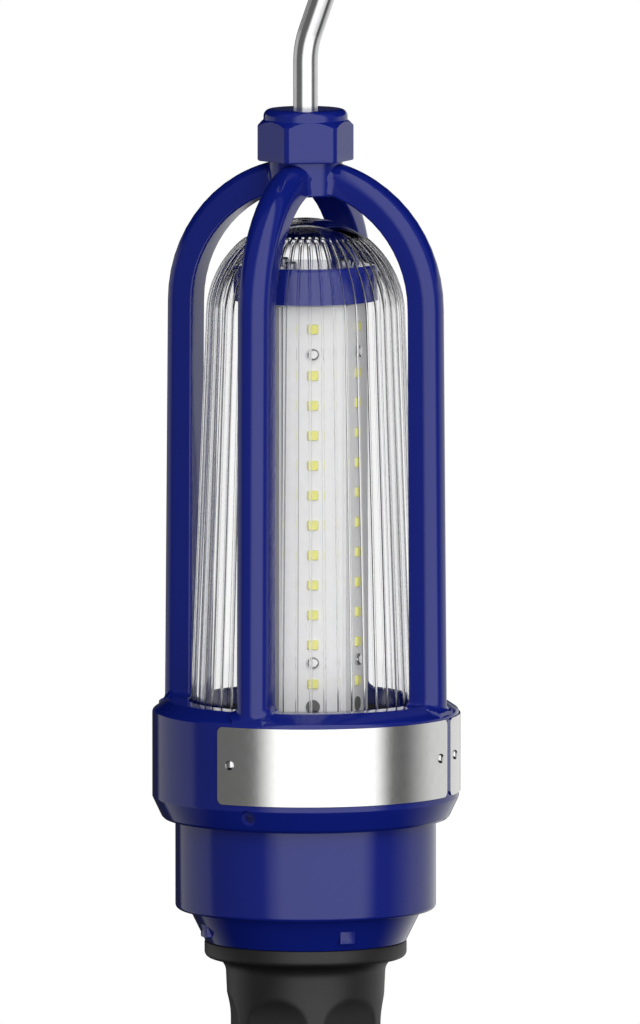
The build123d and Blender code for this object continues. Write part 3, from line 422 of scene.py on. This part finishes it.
def arm_rings():
    """Sections of the arm on the +X side, from inside the collar to inside the hub."""
    sunk = [-133.8, -133.0]
    root = [COLLAR_SHOULDER + 0.3 * k for k in range(20)]
    leg = [-120.0 + 20.0 * k for k in range(6)]
    outline = arm_outline()
    depth = ARM_OUTER_R - ARM_INNER_R
    for height in sunk + root + leg:
        inner = ARM_INNER_R - height * math.tan(math.radians(ARM_INNER_DRAFT))
        outer = ARM_OUTER_R - height * math.tan(math.radians(ARM_OUTER_DRAFT))
        ring = []
        for s, w, ns, nw in outline:
            radius = inner + s * (outer - inner) / depth
            out = flare(height - collar_surface(radius), ROOT_FILLET)
            radius = min(max(radius + ns * out, ROOT_LOW_R), ROOT_HIGH_R)
            ring.append((radius, w + nw * out, height))
        yield ring
    arch = [6.0 * k for k in range(11)]
    near_hub = [62.0 + 0.5 * k for k in range(41)]
    for angle in arch + near_hub:
        c, n = math.cos(math.radians(angle)), math.sin(math.radians(angle))
        ring = []
        for s, w, ns, nw in outline:
            out = hub_flare((ARM_INNER_R + s) * c)
            radius = ARM_INNER_R + s + max(ns, 0.0) * out
            ring.append((radius * c, w + nw * out, radius * n))
        yield ring


def hub_flare(x):
    """How far the fillet between an arm and the hub stands out at a distance from the axis."""
    touch = HUB_FILLET_X * HUB_R / (HUB_R + HUB_FILLET)
    x = max(x, touch)
    if x >= HUB_FILLET_X:
        return 0.0
    return HUB_FILLET - math.sqrt(HUB_FILLET ** 2 - (HUB_FILLET_X - x) ** 2)


def guard_casting():
    """Hub, arms and collar; they overlap where the casting is solid."""
    shell = Shell()
    arm = list(arm_rings())
    for step in range(ARM_COUNT):
        turn = Matrix.Rotation(math.radians(360 / ARM_COUNT * step), 3, "Z")
        rings = []
        for ring in arm:
            rings.append(shell.ring([turn @ Vector((x, y, ARCH_Z + z)) * MM for x, y, z in ring]))
        shell.tube(rings)
    revolve(shell, rounded([
        (SWIVEL_WELL_R, HUB_BASE_Z, 0.3), (HUB_R, HUB_BASE_Z, 0.8), (HUB_R, HUB_TOP_Z, 0.2),
        (SPIGOT_R, HUB_TOP_Z, 0), (SPIGOT_R, SPIGOT_TOP_Z, 0.4),
        (SWIVEL_POCKET_R, SPIGOT_TOP_Z, 0.2), (SWIVEL_POCKET_R, SWIVEL_POCKET_Z, 0),
        (SWIVEL_WELL_R, SWIVEL_POCKET_Z, 0),
    ]), HUB_SEGMENTS)
    merge(shell, drilled_collar())
    return build("guard_cage", shell, "lamp", [blue_enamel], ["guard_casting"])


def drilled_collar():
    """Mesh of the collar with its two set screw holes."""
    collar = Shell()
    revolve(collar, rounded([
        (COLLAR_LIP_R, COLLAR_LIP_Z, 0.3), (COLLAR_LIP_R, COLLAR_TOP, 0.5),
        (COLLAR_RIM_R, COLLAR_TOP, 1.4), (COLLAR_R, COLLAR_SHOULDER, 1.6), (COLLAR_R, COLLAR_EDGE_Z, 1.2),
        (COLLAR_FOOT_R, COLLAR_FOOT_Z, 0.8), (COLLAR_BASE_R, COLLAR_BASE_Z, 0.3),
        (COLLAR_BORE_R, COLLAR_BASE_Z, 0.3), (COLLAR_BORE_R, COLLAR_LIP_Z, 0.3),
    ]), COLLAR_SEGMENTS)
    holes = Shell()
    for angle in SET_SCREW_ANGLES:
        rings = []
        for reach, radius in SET_SCREW_HOLE:
            middle = at(angle, reach, SET_SCREW_Z)
            across = at(angle + 90, radius, 0) - at(0, 0, 0)
            up = Vector((0, 0, radius * MM))
            turns = [2 * math.pi * k / HOLE_SEGMENTS for k in range(HOLE_SEGMENTS)]
            rings.append(holes.ring([
                middle + across * math.cos(a) + up * math.sin(a) for a in turns
            ]))
        holes.tube(rings)
    return subtract(collar, holes)


guard_casting()


# ---------------------------------------------------------------- nameplate rivets

RIVET_HEAD_R, RIVET_HEAD_H, RIVET_RIM_H = 1.55, 0.9, 0.12
RIVET_SHANK_R, RIVET_DEPTH = 0.95, 4.0
RIVET_SEGMENTS, RIVET_DOME_STEPS, RIVET_APART = 32, 8, 3


def nameplate_rivets():
    """Domed drive rivets in the places of the CAD's four."""
    corners = [v.co for v in frame["nodes"]["nameplate_rivets"].data.vertices]
    low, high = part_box("nameplate_rivets")
    middle = (low[2] + high[2]) / 2
    profile = [
        (RIVET_SHANK_R, -RIVET_DEPTH), (RIVET_SHANK_R, 0.0), (RIVET_HEAD_R, 0.0),
        (RIVET_HEAD_R, RIVET_RIM_H),
    ]
    for k in range(1, RIVET_DOME_STEPS):
        a = math.radians(90 * k / RIVET_DOME_STEPS)
        rise = RIVET_RIM_H + (RIVET_HEAD_H - RIVET_RIM_H) * math.sin(a)
        profile.append((RIVET_HEAD_R * math.cos(a), rise))
    shell = Shell()
    for turn in angle_groups(math.atan2(co.x, -co.y) for co in corners):
        out = Vector((math.sin(turn), -math.cos(turn), 0))
        side = Vector((math.cos(turn), math.sin(turn), 0))
        crown = max(out.dot(co) for co in corners)
        seat = crown - RIVET_HEAD_H * MM
        rings = []
        for radius, rise in profile:
            ring = []
            for k in range(RIVET_SEGMENTS):
                a = 2 * math.pi * k / RIVET_SEGMENTS
                spot = out * (seat + rise * MM) + side * radius * MM * math.cos(a)
                ring.append(spot + Vector((0, 0, middle + radius * MM * math.sin(a))))
            rings.append(shell.ring(ring))
        for lower, upper in zip(rings, rings[1:]):
            shell.bridge(lower, upper)
        shell.face(list(reversed(rings[0])))
        shell.fan(rings[-1], out * crown + Vector((0, 0, middle)))
    return build("nameplate_rivet_heads", shell, "lamp", [rivet_steel],
                 ["nameplate_rivets"])


def angle_groups(turns):
    """Middle of each cluster of angles; clusters are further apart than RIVET_APART degrees."""
    groups = []
    for turn in sorted(turns):
        if groups and turn - groups[-1][-1] < math.radians(RIVET_APART):
            groups[-1].append(turn)
        else:
            groups.append([turn])
    return [(group[0] + group[-1]) / 2 for group in groups]


nameplate_rivets()


# ---------------------------------------------------------------- barrel

BARREL_R, BARREL_TOP_Z, BARREL_BASE_Z = 42.5, -167.8, -197.5
NECK_R, NECK_TOP_Z, NECK_BORE_R = 41.4, -150.0, 36.0
CAVITY_R, CAVITY_TOP_Z, CAVITY_FLOOR_Z = 31.0, -155.0, -195.0
CONE_TOP_R, CONE_FOOT_R, CONE_BASE_Z, SOCKET_R = 38.0, 32.8, -208.0, 22.5
LUG_COUNT, LUG_START, LUG_HALF, LUG_ROUND = 4, 45, 2.65, 0.5
LUG_LOW_Z, LUG_HIGH_Z, LUG_ROOT_R, LUG_FACE_R = -205.7, -200.8, 31.5, 36.0


def barrel():
    """Hollow barrel and cone, with the cast lugs round the cone."""
    shell = Shell()
    revolve(shell, rounded([
        (NECK_BORE_R, NECK_TOP_Z, 0.3), (NECK_R, NECK_TOP_Z, 0.4), (NECK_R, BARREL_TOP_Z, 0),
        (BARREL_R, BARREL_TOP_Z, 0.6), (BARREL_R, BARREL_BASE_Z, 1.5),
        (CONE_TOP_R, BARREL_BASE_Z, 0.5), (CONE_FOOT_R, CONE_BASE_Z, 0.6),
        (SOCKET_R, CONE_BASE_Z, 0.3), (SOCKET_R, CAVITY_FLOOR_Z, 0), (CAVITY_R, CAVITY_FLOOR_Z, 0.5),
        (CAVITY_R, CAVITY_TOP_Z, 0.3), (NECK_BORE_R, CAVITY_TOP_Z, 0),
    ]), COLLAR_SEGMENTS)
    for step in range(LUG_COUNT):
        cast_lug(shell, LUG_START + 360 / LUG_COUNT * step)
    return build("barrel_body", shell, "lamp", [blue_enamel], ["barrel_housing"])


def cast_lug(shell, angle):
    """One lug: a block whose outer edges are eased in two steps."""
    turn = Matrix.Rotation(math.radians(angle), 3, "Z")
    face = rounded([
        (-LUG_HALF, LUG_LOW_Z, LUG_ROUND), (LUG_HALF, LUG_LOW_Z, LUG_ROUND),
        (LUG_HALF, LUG_HIGH_Z, LUG_ROUND), (-LUG_HALF, LUG_HIGH_Z, LUG_ROUND),
    ], 4)
    middle = Vector((0, (LUG_LOW_Z + LUG_HIGH_Z) / 2))
    rings = []
    for out, shrink in (
        (LUG_ROOT_R, 0.0), (LUG_FACE_R - 0.5, 0.0), (LUG_FACE_R - 0.15, 0.15), (LUG_FACE_R, 0.5),
    ):
        ring = []
        for p in face:
            q = p + (middle - p).normalized() * shrink
            ring.append(turn @ (Vector((q.x, -out, ARCH_Z + q.y)) * MM))
        rings.append(shell.ring(ring))
    shell.tube(rings)


barrel()


# ---------------------------------------------------------------- hex cap

CAP_TOP_Z, CAP_SHOULDER_Z, CAP_BASE_Z, CAP_WEB_Z = 64.0, 60.3, 47.2, 58.0
CAP_AF, CAP_FACET, CAP_CORNER_R, CAP_CHAMFER = 28.0, 1.73, 16.17, 2.2
CAP_THREAD_R, CAP_NECK_R, CAP_NECK_ROUND, CAP_NECK_STEPS = 10.6, 13.7, 2.3, 8
CAP_SEGMENTS, CAP_CHAMFER_STEPS, CAP_CHAMFER_STEP = 360, 20, 0.13
ROD_HOLE_R = 4.06


def hex_radius(angle):
    """Radius of the hexagon, with narrow facets for corners; faces at 30, 90 degrees and so on."""
    off = abs(angle % 60 - 30)
    face = CAP_AF / 2 / math.cos(math.radians(off))
    corner_reach = CAP_AF / math.sqrt(3) - CAP_FACET / 2 / math.tan(math.radians(60))
    return smooth_min(face, corner_reach / math.cos(math.radians(30 - off)), 0.12)


def hex_cap():
    """Hexagon with eased edges and turned-off corners, its round neck, and the hollow inside."""
    shell = Shell()
    angles = [360 * k / CAP_SEGMENTS for k in range(CAP_SEGMENTS)]
    rings = []
    for height, inset in (
        (CAP_BASE_Z, 0.5), (CAP_BASE_Z + 0.15, 0.15), (CAP_BASE_Z + 0.5, 0.0),
        (CAP_BASE_Z + 3, 0.0), (CAP_SHOULDER_Z - 3.5, 0.0),
    ):
        rings.append(shell.ring([at(angle, hex_radius(angle) - inset, height) for angle in angles]))
    for step in range(CAP_CHAMFER_STEPS):
        height = CAP_SHOULDER_Z - CAP_CHAMFER_STEP * CAP_CHAMFER_STEPS + CAP_CHAMFER_STEP * step
        cone = CAP_CORNER_R - max(0.0, height - (CAP_SHOULDER_Z - CAP_CHAMFER)) + 0.1
        reaches = [smooth_min(hex_radius(angle), cone, 0.2) for angle in angles]
        rings.append(shell.ring([
            at(angle, reach, height) for angle, reach in zip(angles, reaches)
        ]))
    profile = [
        (14.0, CAP_SHOULDER_Z + 0.02), (CAP_NECK_R + 0.25, CAP_SHOULDER_Z + 0.06),
        (CAP_NECK_R + 0.05, CAP_SHOULDER_Z + 0.25), (CAP_NECK_R, CAP_SHOULDER_Z + 0.4),
    ]
    round_centre = (CAP_NECK_R - CAP_NECK_ROUND, CAP_TOP_Z - CAP_NECK_ROUND)
    profile += arc(round_centre, CAP_NECK_ROUND, 0, 90, CAP_NECK_STEPS)
    profile += [
        (6.0, CAP_TOP_Z), (ROD_HOLE_R + 0.19, CAP_TOP_Z), (ROD_HOLE_R, CAP_TOP_Z - 0.2),
        (ROD_HOLE_R, CAP_WEB_Z), (CAP_THREAD_R, CAP_WEB_Z), (CAP_THREAD_R, CAP_BASE_Z),
    ]
    for radius, height in profile:
        rings.append(shell.ring([at(angle, radius, height) for angle in angles]))
    for lower, upper in zip(rings, rings[1:]):
        shell.bridge(lower, upper)
    shell.bridge(rings[-1], rings[0])
    return build("hex_cap_body", shell, "lamp", [blue_enamel], ["hex_cap"], sharp=38)


hex_cap()


# ---------------------------------------------------------------- globe

DOME_R, DOME_Z, GLOBE_DRAFT, GLOBE_WALL = 32.0, -3.6, 2.25, 2.5
GLOBE_FLANGE_R, GLOBE_FLANGE_TOP, GLOBE_FOOT = 41.3, -135.5, -141.5
RIB_COUNT, RIB_HEIGHT, RIB_HALF = 50, 0.42, 0.5
RIB_STEPS, GAP_STEPS = 12, 5
CROWN_R = (18.5, 20.5)
WALL_STEPS, DOME_STEPS, INNER_DOME_STEPS = 8, 60, 40


def globe_line(radius, low, dome_steps):
    """Points (radius, height) up a side of the globe to its top."""
    draft = math.radians(GLOBE_DRAFT)
    spring_r = radius * math.cos(draft)
    spring_z = DOME_Z + radius * math.sin(draft)
    line = []
    for k in range(WALL_STEPS + 1):
        z = low + (spring_z - low) * k / WALL_STEPS
        line.append((spring_r + (spring_z - z) * math.tan(draft), z))
    for k in range(1, dome_steps + 1):
        a = draft + (math.pi / 2 - draft) * k / dome_steps
        line.append((radius * math.cos(a), DOME_Z + radius * math.sin(a)))
    return line


def rib_places(radius, grow):
    """Angle and rise of each point round the globe at a radius; ribs are half-round ridges."""
    half = math.degrees(RIB_HALF / radius)
    pitch = 360 / RIB_COUNT
    for rib in range(RIB_COUNT):
        middle = pitch * (rib + 0.5)
        for step in range(RIB_STEPS + 1):
            turn = math.pi * (step / RIB_STEPS - 0.5)
            yield middle + half * math.sin(turn), RIB_HEIGHT * grow * math.cos(turn)
        gap = pitch - 2 * half
        for step in range(1, GAP_STEPS):
            yield middle + half + gap * step / GAP_STEPS, 0.0


def globe():
    """Glass shell, smooth inside, with ribs outside that fade out at CROWN_R near the top."""
    shell = Shell()
    line = globe_line(DOME_R, GLOBE_FLANGE_TOP, DOME_STEPS)
    rings = []
    for i, (radius, z) in enumerate(line[:-1]):
        before, after = line[max(i - 1, 0)], line[i + 1]
        along = Vector((after[0] - before[0], after[1] - before[1])).normalized()
        grow = 1.0 if z < DOME_Z else ease(radius, *CROWN_R)
        rings.append(shell.ring([
            at(angle, radius + along.y * rise, z - along.x * rise)
            for angle, rise in rib_places(radius, grow)
        ]))
    for lower, upper in zip(rings, rings[1:]):
        shell.bridge(lower, upper)
    shell.fan(rings[-1], at(0, 0, DOME_Z + DOME_R))
    angles = [angle for angle, rise in rib_places(DOME_R, 1.0)]
    foot = [(GLOBE_FLANGE_R, GLOBE_FLANGE_TOP), (GLOBE_FLANGE_R, GLOBE_FOOT)]
    foot += globe_line(DOME_R - GLOBE_WALL, GLOBE_FOOT, INNER_DOME_STEPS)[:-1]
    below = [shell.ring([at(angle, r, z) for angle in angles]) for r, z in foot]
    shell.bridge(below[0], rings[0])
    for lower, upper in zip(below, below[1:]):
        shell.bridge(upper, lower)
    shell.fan(below[-1], at(0, 0, DOME_Z + DOME_R - GLOBE_WALL), up=False)
    piece = build("globe_ribbed", shell, "lamp", [clear_glass], ["globe"], sharp=40)
    piece.visible_shadow = False
    piece.visible_diffuse = False
    return piece


globe()


# ---------------------------------------------------------------- LED packages

CHIP_TOP_Z, CHIP_ROW_Z, CHIP_PITCH, CHIP_ROW_COUNT, CHIP_LOW_Z = -6.3, -21.4, 9.77, 10, -122.1
CHIP_W, CHIP_H, CHIP_PROUD = 3.5, 3.2, 0.9
BOARD_FACE, BOARD_COUNT, BOARD_START = 18.0, 6, 30


def chip(shell, turn, height):
    """One package: a round-cornered frame with the phosphor sunk in its middle."""

    def loop(inset, radius, out):
        x, y = CHIP_W / 2 - inset, CHIP_H / 2 - inset
        points = []
        for p in rounded([(-x, -y, radius), (x, -y, radius), (x, y, radius), (-x, y, radius)], 4):
            points.append(turn @ (Vector((p.x, -BOARD_FACE - out, ARCH_Z + height + p.y)) * MM))
        return shell.ring(points)

    rings = [
        loop(0.0, 0.3, 0.0), loop(0.0, 0.3, 0.3), loop(0.08, 0.5, 0.38),
        loop(0.08, 0.6, CHIP_PROUD - 0.25), loop(0.14, 0.65, CHIP_PROUD - 0.1),
        loop(0.3, 0.65, CHIP_PROUD), loop(0.5, 0.6, CHIP_PROUD - 0.03),
    ]
    for level, (lower, upper) in enumerate(zip(rings, rings[1:])):
        shell.bridge(lower, upper, material=0 if level < 2 else 1)
    shell.face(rings[-1], 1)
    shell.face(list(reversed(rings[0])))


def led_packages(number):
    """The twelve packages on one board."""
    shell = Shell()
    turn = Matrix.Rotation(math.radians(BOARD_START + 360 / BOARD_COUNT * number), 3, "Z")
    row = [CHIP_ROW_Z - CHIP_PITCH * k for k in range(CHIP_ROW_COUNT)]
    for height in [CHIP_TOP_Z] + row + [CHIP_LOW_Z]:
        chip(shell, turn, height)
    build(f"led_packages_{number + 1}", shell, "lamp", [package_white, phosphor],
          [f"led_chips_{number + 1}"])


for number in range(BOARD_COUNT):
    led_packages(number)


# ---------------------------------------------------------------- handle grip

GRIP_BORE_R, GRIP_LOW_Z, GRIP_HIGH_Z, GRIP_SEGMENTS = 18.05, -333.0, -208.02, 360
GRIP_FOOT_R, GRIP_FOOT_ROUND_AT, GRIP_FOOT_ROUND = 20.5, (21.2, -327.0), 6.0
GRIP_BODY_LOW_Z, GRIP_BODY_HIGH_Z, GRIP_RING_GAP = -324.0, -218.5, 1.0
GRIP_WAIST = ((-217.1, 26.0), (-226.0, 25.7), (-275.0, 25.3), (-321.0, 27.2))
NECK_FILLET_AT, NECK_FILLET = (30.8, -218.3), 4.8
FLANGE_R, FLANGE_LOW_Z, FLANGE_ROUND_AT, FLANGE_ROUND = 33.0, -213.5, (31.0, -211.5), 2.0
FLUTE_COUNT, FLUTE_FLOOR, FLUTE_END_R, FLUTE_LOW, FLUTE_HIGH = 6, 23.3, 20.0, -296.0, -234.4


def grip_radius(z):
    """Radius of the grip before its flutes, eased between the heights of its waist."""
    if z >= GRIP_WAIST[0][0]:
        return GRIP_WAIST[0][1]
    for (z0, r0), (z1, r1) in zip(GRIP_WAIST, GRIP_WAIST[1:]):
        if z >= z1:
            t = (z0 - z) / (z0 - z1)
            return r0 + (r1 - r0) * t * t * (3 - 2 * t)
    return GRIP_WAIST[-1][1]


def flute_depth(z):
    """Distance of a flute's floor from the axis; its ends rise on an arc."""
    over = max(z - FLUTE_HIGH, FLUTE_LOW - z, 0.0)
    if over >= FLUTE_END_R:
        return FLUTE_FLOOR + FLUTE_END_R
    return FLUTE_FLOOR + FLUTE_END_R - math.sqrt(FLUTE_END_R ** 2 - over ** 2)


def fluted_ring(z):
    """Points round the grip at a height, with its flat-bottomed flutes."""
    pitch = 360 / FLUTE_COUNT
    points = []
    for k in range(GRIP_SEGMENTS):
        angle = 360 * k / GRIP_SEGMENTS
        off = (angle + pitch / 2) % pitch - pitch / 2
        flat = flute_depth(z) / math.cos(math.radians(off))
        points.append(at(angle, smooth_min(grip_radius(z), flat, 0.15), z))
    return points


def handle_grip():
    """Moulded grip from its foot up to the flange, and back down the bore."""
    shell = Shell()
    foot = [(GRIP_BORE_R, GRIP_LOW_Z), (GRIP_FOOT_R, GRIP_LOW_Z)]
    foot += arc(GRIP_FOOT_ROUND_AT, GRIP_FOOT_ROUND, -90, 0, 6)
    flange = list(arc(NECK_FILLET_AT, NECK_FILLET, 180, 90, 8))
    flange += [(NECK_FILLET_AT[0] + 0.1, FLANGE_LOW_Z)]
    flange += arc(FLANGE_ROUND_AT, FLANGE_ROUND, -90, 0, 6)
    flange += [
        (FLANGE_R, GRIP_HIGH_Z - 0.53), (FLANGE_R - 0.15, GRIP_HIGH_Z - 0.13),
        (FLANGE_R - 0.5, GRIP_HIGH_Z), (GRIP_BORE_R, GRIP_HIGH_Z),
    ]
    angles = [360 * k / GRIP_SEGMENTS for k in range(GRIP_SEGMENTS)]
    rings = [shell.ring([at(angle, radius, z) for angle in angles]) for radius, z in foot]
    z = GRIP_BODY_LOW_Z
    while z < GRIP_BODY_HIGH_Z:
        rings.append(shell.ring(fluted_ring(z)))
        z += GRIP_RING_GAP
    rings += [shell.ring([at(angle, radius, z) for angle in angles]) for radius, z in flange]
    for lower, upper in zip(rings, rings[1:]):
        shell.bridge(lower, upper)
    shell.bridge(rings[-1], rings[0])
    return build("grip_body", shell, "lamp", [grip_plastic], ["handle_grip"],
                 sharp=40)


handle_grip()


# ---------------------------------------------------------------- camera, light and floor

def camera():
    """Long lens, a little above level, aimed below the middle of the cage."""
    data = bpy.data.cameras.new("Camera")
    data.lens = CAMERA_LENS
    data.sensor_width = 36.0
    data.clip_end = 100.0
    eye = bpy.data.objects.new("Camera", data)
    bpy.context.scene.collection.objects.link(eye)
    bpy.context.scene.camera = eye
    back = bearing(CAMERA_AZIMUTH, CAMERA_ELEVATION)
    right = bearing(CAMERA_AZIMUTH + 90, 0)
    aim = Vector((0, 0, CAMERA_AIM_Z * MM)) + right * CAMERA_AIM_RIGHT * MM
    eye.location = aim + back * CAMERA_DISTANCE
    eye.rotation_mode = "QUATERNION"
    eye.rotation_quaternion = (-back).to_track_quat("-Z", "Y")


# Brightness round the lamp, as (degrees right of the camera, level): first as reflected by its
# outside, then as seen through the glass.
STUDIO = [
    (-180, 0.03), (-148, 0.03), (-144, 0.55), (-96, 0.55), (-90, 0.14), (-38, 0.14), (-21, 1.45),
    (52, 1.45), (66, 0.12), (80, 0.12), (108, 0.72), (168, 0.80), (174, 0.05), (180, 0.03),
]
THROUGH = [
    (-180, 1.0), (-134, 1.0), (-130, 0.02), (-122, 0.02), (-118, 0.9), (-92, 0.9), (-86, 0.03),
    (-26, 0.03), (-16, 1.2), (40, 1.2), (50, 0.03), (86, 0.03), (92, 0.9), (118, 0.9), (122, 0.02),
    (130, 0.02), (134, 1.0), (180, 1.0),
]
# Heights in degrees between which the studio fades: (dark, full) below and (full, dark) above.  The
# last band is for what is mirrored inside the globe and seen through the glass.
FRONT_BAND = (-45.0, -20.0, 95.0, 100.0)
BACK_BAND = (-45.0, -20.0, 4.0, 12.0)
THROUGH_BAND = (-45.0, -20.0, -1.6, 0.7)
MIRRORED_BAND = (-12.0, -9.0, 16.0, 20.0)

SOFTBOX_DISTANCE, SOFTBOX_SIZE, SOFTBOX_AIM_Z = 2.0, 1.6, -250.0


def bearing(azimuth, elevation):
    """Unit vector towards the degrees right of -Y and above level."""
    a, e = math.radians(azimuth), math.radians(elevation)
    return Vector((math.sin(a) * math.cos(e), -math.cos(a) * math.cos(e), math.sin(e)))


def ramp(tree, around, stops):
    """Grey level by the turn round the lamp, from 0 to 1."""
    node = tree.nodes.new("ShaderNodeValToRGB")
    elements = node.color_ramp.elements
    while len(elements) < len(stops):
        elements.new(0.5)
    for element, (degrees, level) in zip(elements, stops):
        element.position = (degrees + 180) / 360
        element.color = (level, level, level, 1)
    tree.links.new(around, node.inputs["Fac"])
    return node.outputs["Color"]


def studio():
    """World: white to the camera, STUDIO to reflections and THROUGH to rays that leave the glass."""
    world = bpy.data.worlds.new("Studio")
    bpy.context.scene.world = world
    world.use_nodes = True
    tree = world.node_tree
    tree.nodes.clear()

    def maths(operation, *values):
        node = tree.nodes.new("ShaderNodeMath")
        node.operation = operation
        for socket, value in zip(node.inputs, values):
            if isinstance(value, (int, float)):
                socket.default_value = value
            else:
                tree.links.new(value, socket)
        return node.outputs["Value"]

    direction = tree.nodes.new("ShaderNodeTexCoord").outputs["Generated"]
    split = tree.nodes.new("ShaderNodeSeparateXYZ")
    tree.links.new(direction, split.inputs["Vector"])
    toward = maths("ARCTAN2", split.outputs["X"], maths("MULTIPLY", split.outputs["Y"], -1.0))
    turn = maths("DIVIDE", maths("SUBTRACT", toward, math.radians(CAMERA_AZIMUTH)), 2 * math.pi)
    around = maths("FRACT", maths("ADD", turn, 0.5))
    room = ramp(tree, around, STUDIO)
    through = ramp(tree, around, THROUGH)
    path = tree.nodes.new("ShaderNodeLightPath")
    height = maths("MULTIPLY", maths("ARCSINE", split.outputs["Z"]), 180 / math.pi)

    def fade(low, high):
        node = tree.nodes.new("ShaderNodeMapRange")
        node.interpolation_type = "SMOOTHSTEP"
        node.inputs["From Min"].default_value = low
        node.inputs["From Max"].default_value = high
        tree.links.new(height, node.inputs["Value"])
        return node.outputs["Result"]

    def band(limits):
        return maths("MULTIPLY", fade(limits[0], limits[1]), fade(limits[3], limits[2]))

    behind = maths("GREATER_THAN", maths("ABSOLUTE", maths("SUBTRACT", around, 0.5)), 0.25)
    front, back = band(FRONT_BAND), band(BACK_BAND)
    ahead = maths("SUBTRACT", 1.0, behind)
    lit = maths("ADD", maths("MULTIPLY", behind, back), maths("MULTIPLY", ahead, front))

    def choose(switch, off, on):
        node = tree.nodes.new("ShaderNodeMix")
        node.data_type = "RGBA"
        colours = [s for s in node.inputs if s.type == "RGBA"]
        tree.links.new(switch, node.inputs[0])
        for socket, value in zip(colours, (off, on)):
            if isinstance(value, tuple):
                socket.default_value = value
            else:
                tree.links.new(value, socket)
        return [s for s in node.outputs if s.type == "RGBA"][0]

    black = (0.0, 0.0, 0.0, 1.0)
    room = choose(lit, black, room)
    direct = choose(band(THROUGH_BAND), black, through)
    mirrored = choose(band(MIRRORED_BAND), black, through)
    reflected = maths("GREATER_THAN", path.outputs["Glossy Depth"], 0.5)
    crossed = maths("GREATER_THAN", path.outputs["Transmission Depth"], 2.5)
    through = choose(maths("MULTIPLY", reflected, crossed), direct, mirrored)
    seen = choose(path.outputs["Is Transmission Ray"], room, through)
    seen = choose(path.outputs["Is Camera Ray"], seen, (1.0, 1.0, 1.0, 1.0))
    background = tree.nodes.new("ShaderNodeBackground")
    tree.links.new(seen, background.inputs["Color"])
    output = tree.nodes.new("ShaderNodeOutputWorld")
    tree.links.new(background.outputs["Background"], output.inputs["Surface"])


def softbox(name, azimuth, elevation, power):
    """Square area light aimed at the lamp, seen only as light on it."""
    data = bpy.data.lights.new(name, "AREA")
    data.shape = "RECTANGLE"
    data.size = SOFTBOX_SIZE
    data.size_y = SOFTBOX_SIZE
    data.energy = power
    lamp = bpy.data.objects.new(name, data)
    bpy.context.scene.collection.objects.link(lamp)
    back = bearing(CAMERA_AZIMUTH + azimuth, elevation)
    lamp.location = Vector((0, 0, SOFTBOX_AIM_Z * MM)) + back * SOFTBOX_DISTANCE
    lamp.rotation_mode = "QUATERNION"
    lamp.rotation_quaternion = (-back).to_track_quat("-Z", "Y")
    lamp.visible_camera = False
    lamp.visible_glossy = False
    lamp.visible_transmission = False


def floor():
    """Pale disc under the lamp, which neither lights it nor shows in it."""
    turns = [2 * math.pi * k / FLOOR_SEGMENTS for k in range(FLOOR_SEGMENTS)]
    ring = [(FLOOR_R * math.cos(a), FLOOR_R * math.sin(a), FLOOR_Z) for a in turns]
    mesh = bpy.data.meshes.new("Floor")
    mesh.from_pydata(ring, [], [list(range(FLOOR_SEGMENTS))])
    mesh.materials.append(finish(
        "PaleFloor", (0.80, 0.80, 0.80), (0.82, 0.82, 0.82), rough=(0.7, 0.8), cell=0.01,
        Emission_Color=(1.0, 1.0, 1.0, 1.0), Emission_Strength=0.45,
    ))
    piece = bpy.data.objects.new("Floor", mesh)
    bpy.context.scene.collection.objects.link(piece)
    piece.visible_glossy = False
    piece.visible_diffuse = False
    piece.visible_transmission = False


camera()
studio()
softbox("KeyFront", 10, 25, 2.5)
softbox("Back", 180, 30, 9.0)
floor()
bpy.context.scene.view_settings.view_transform = "Standard"
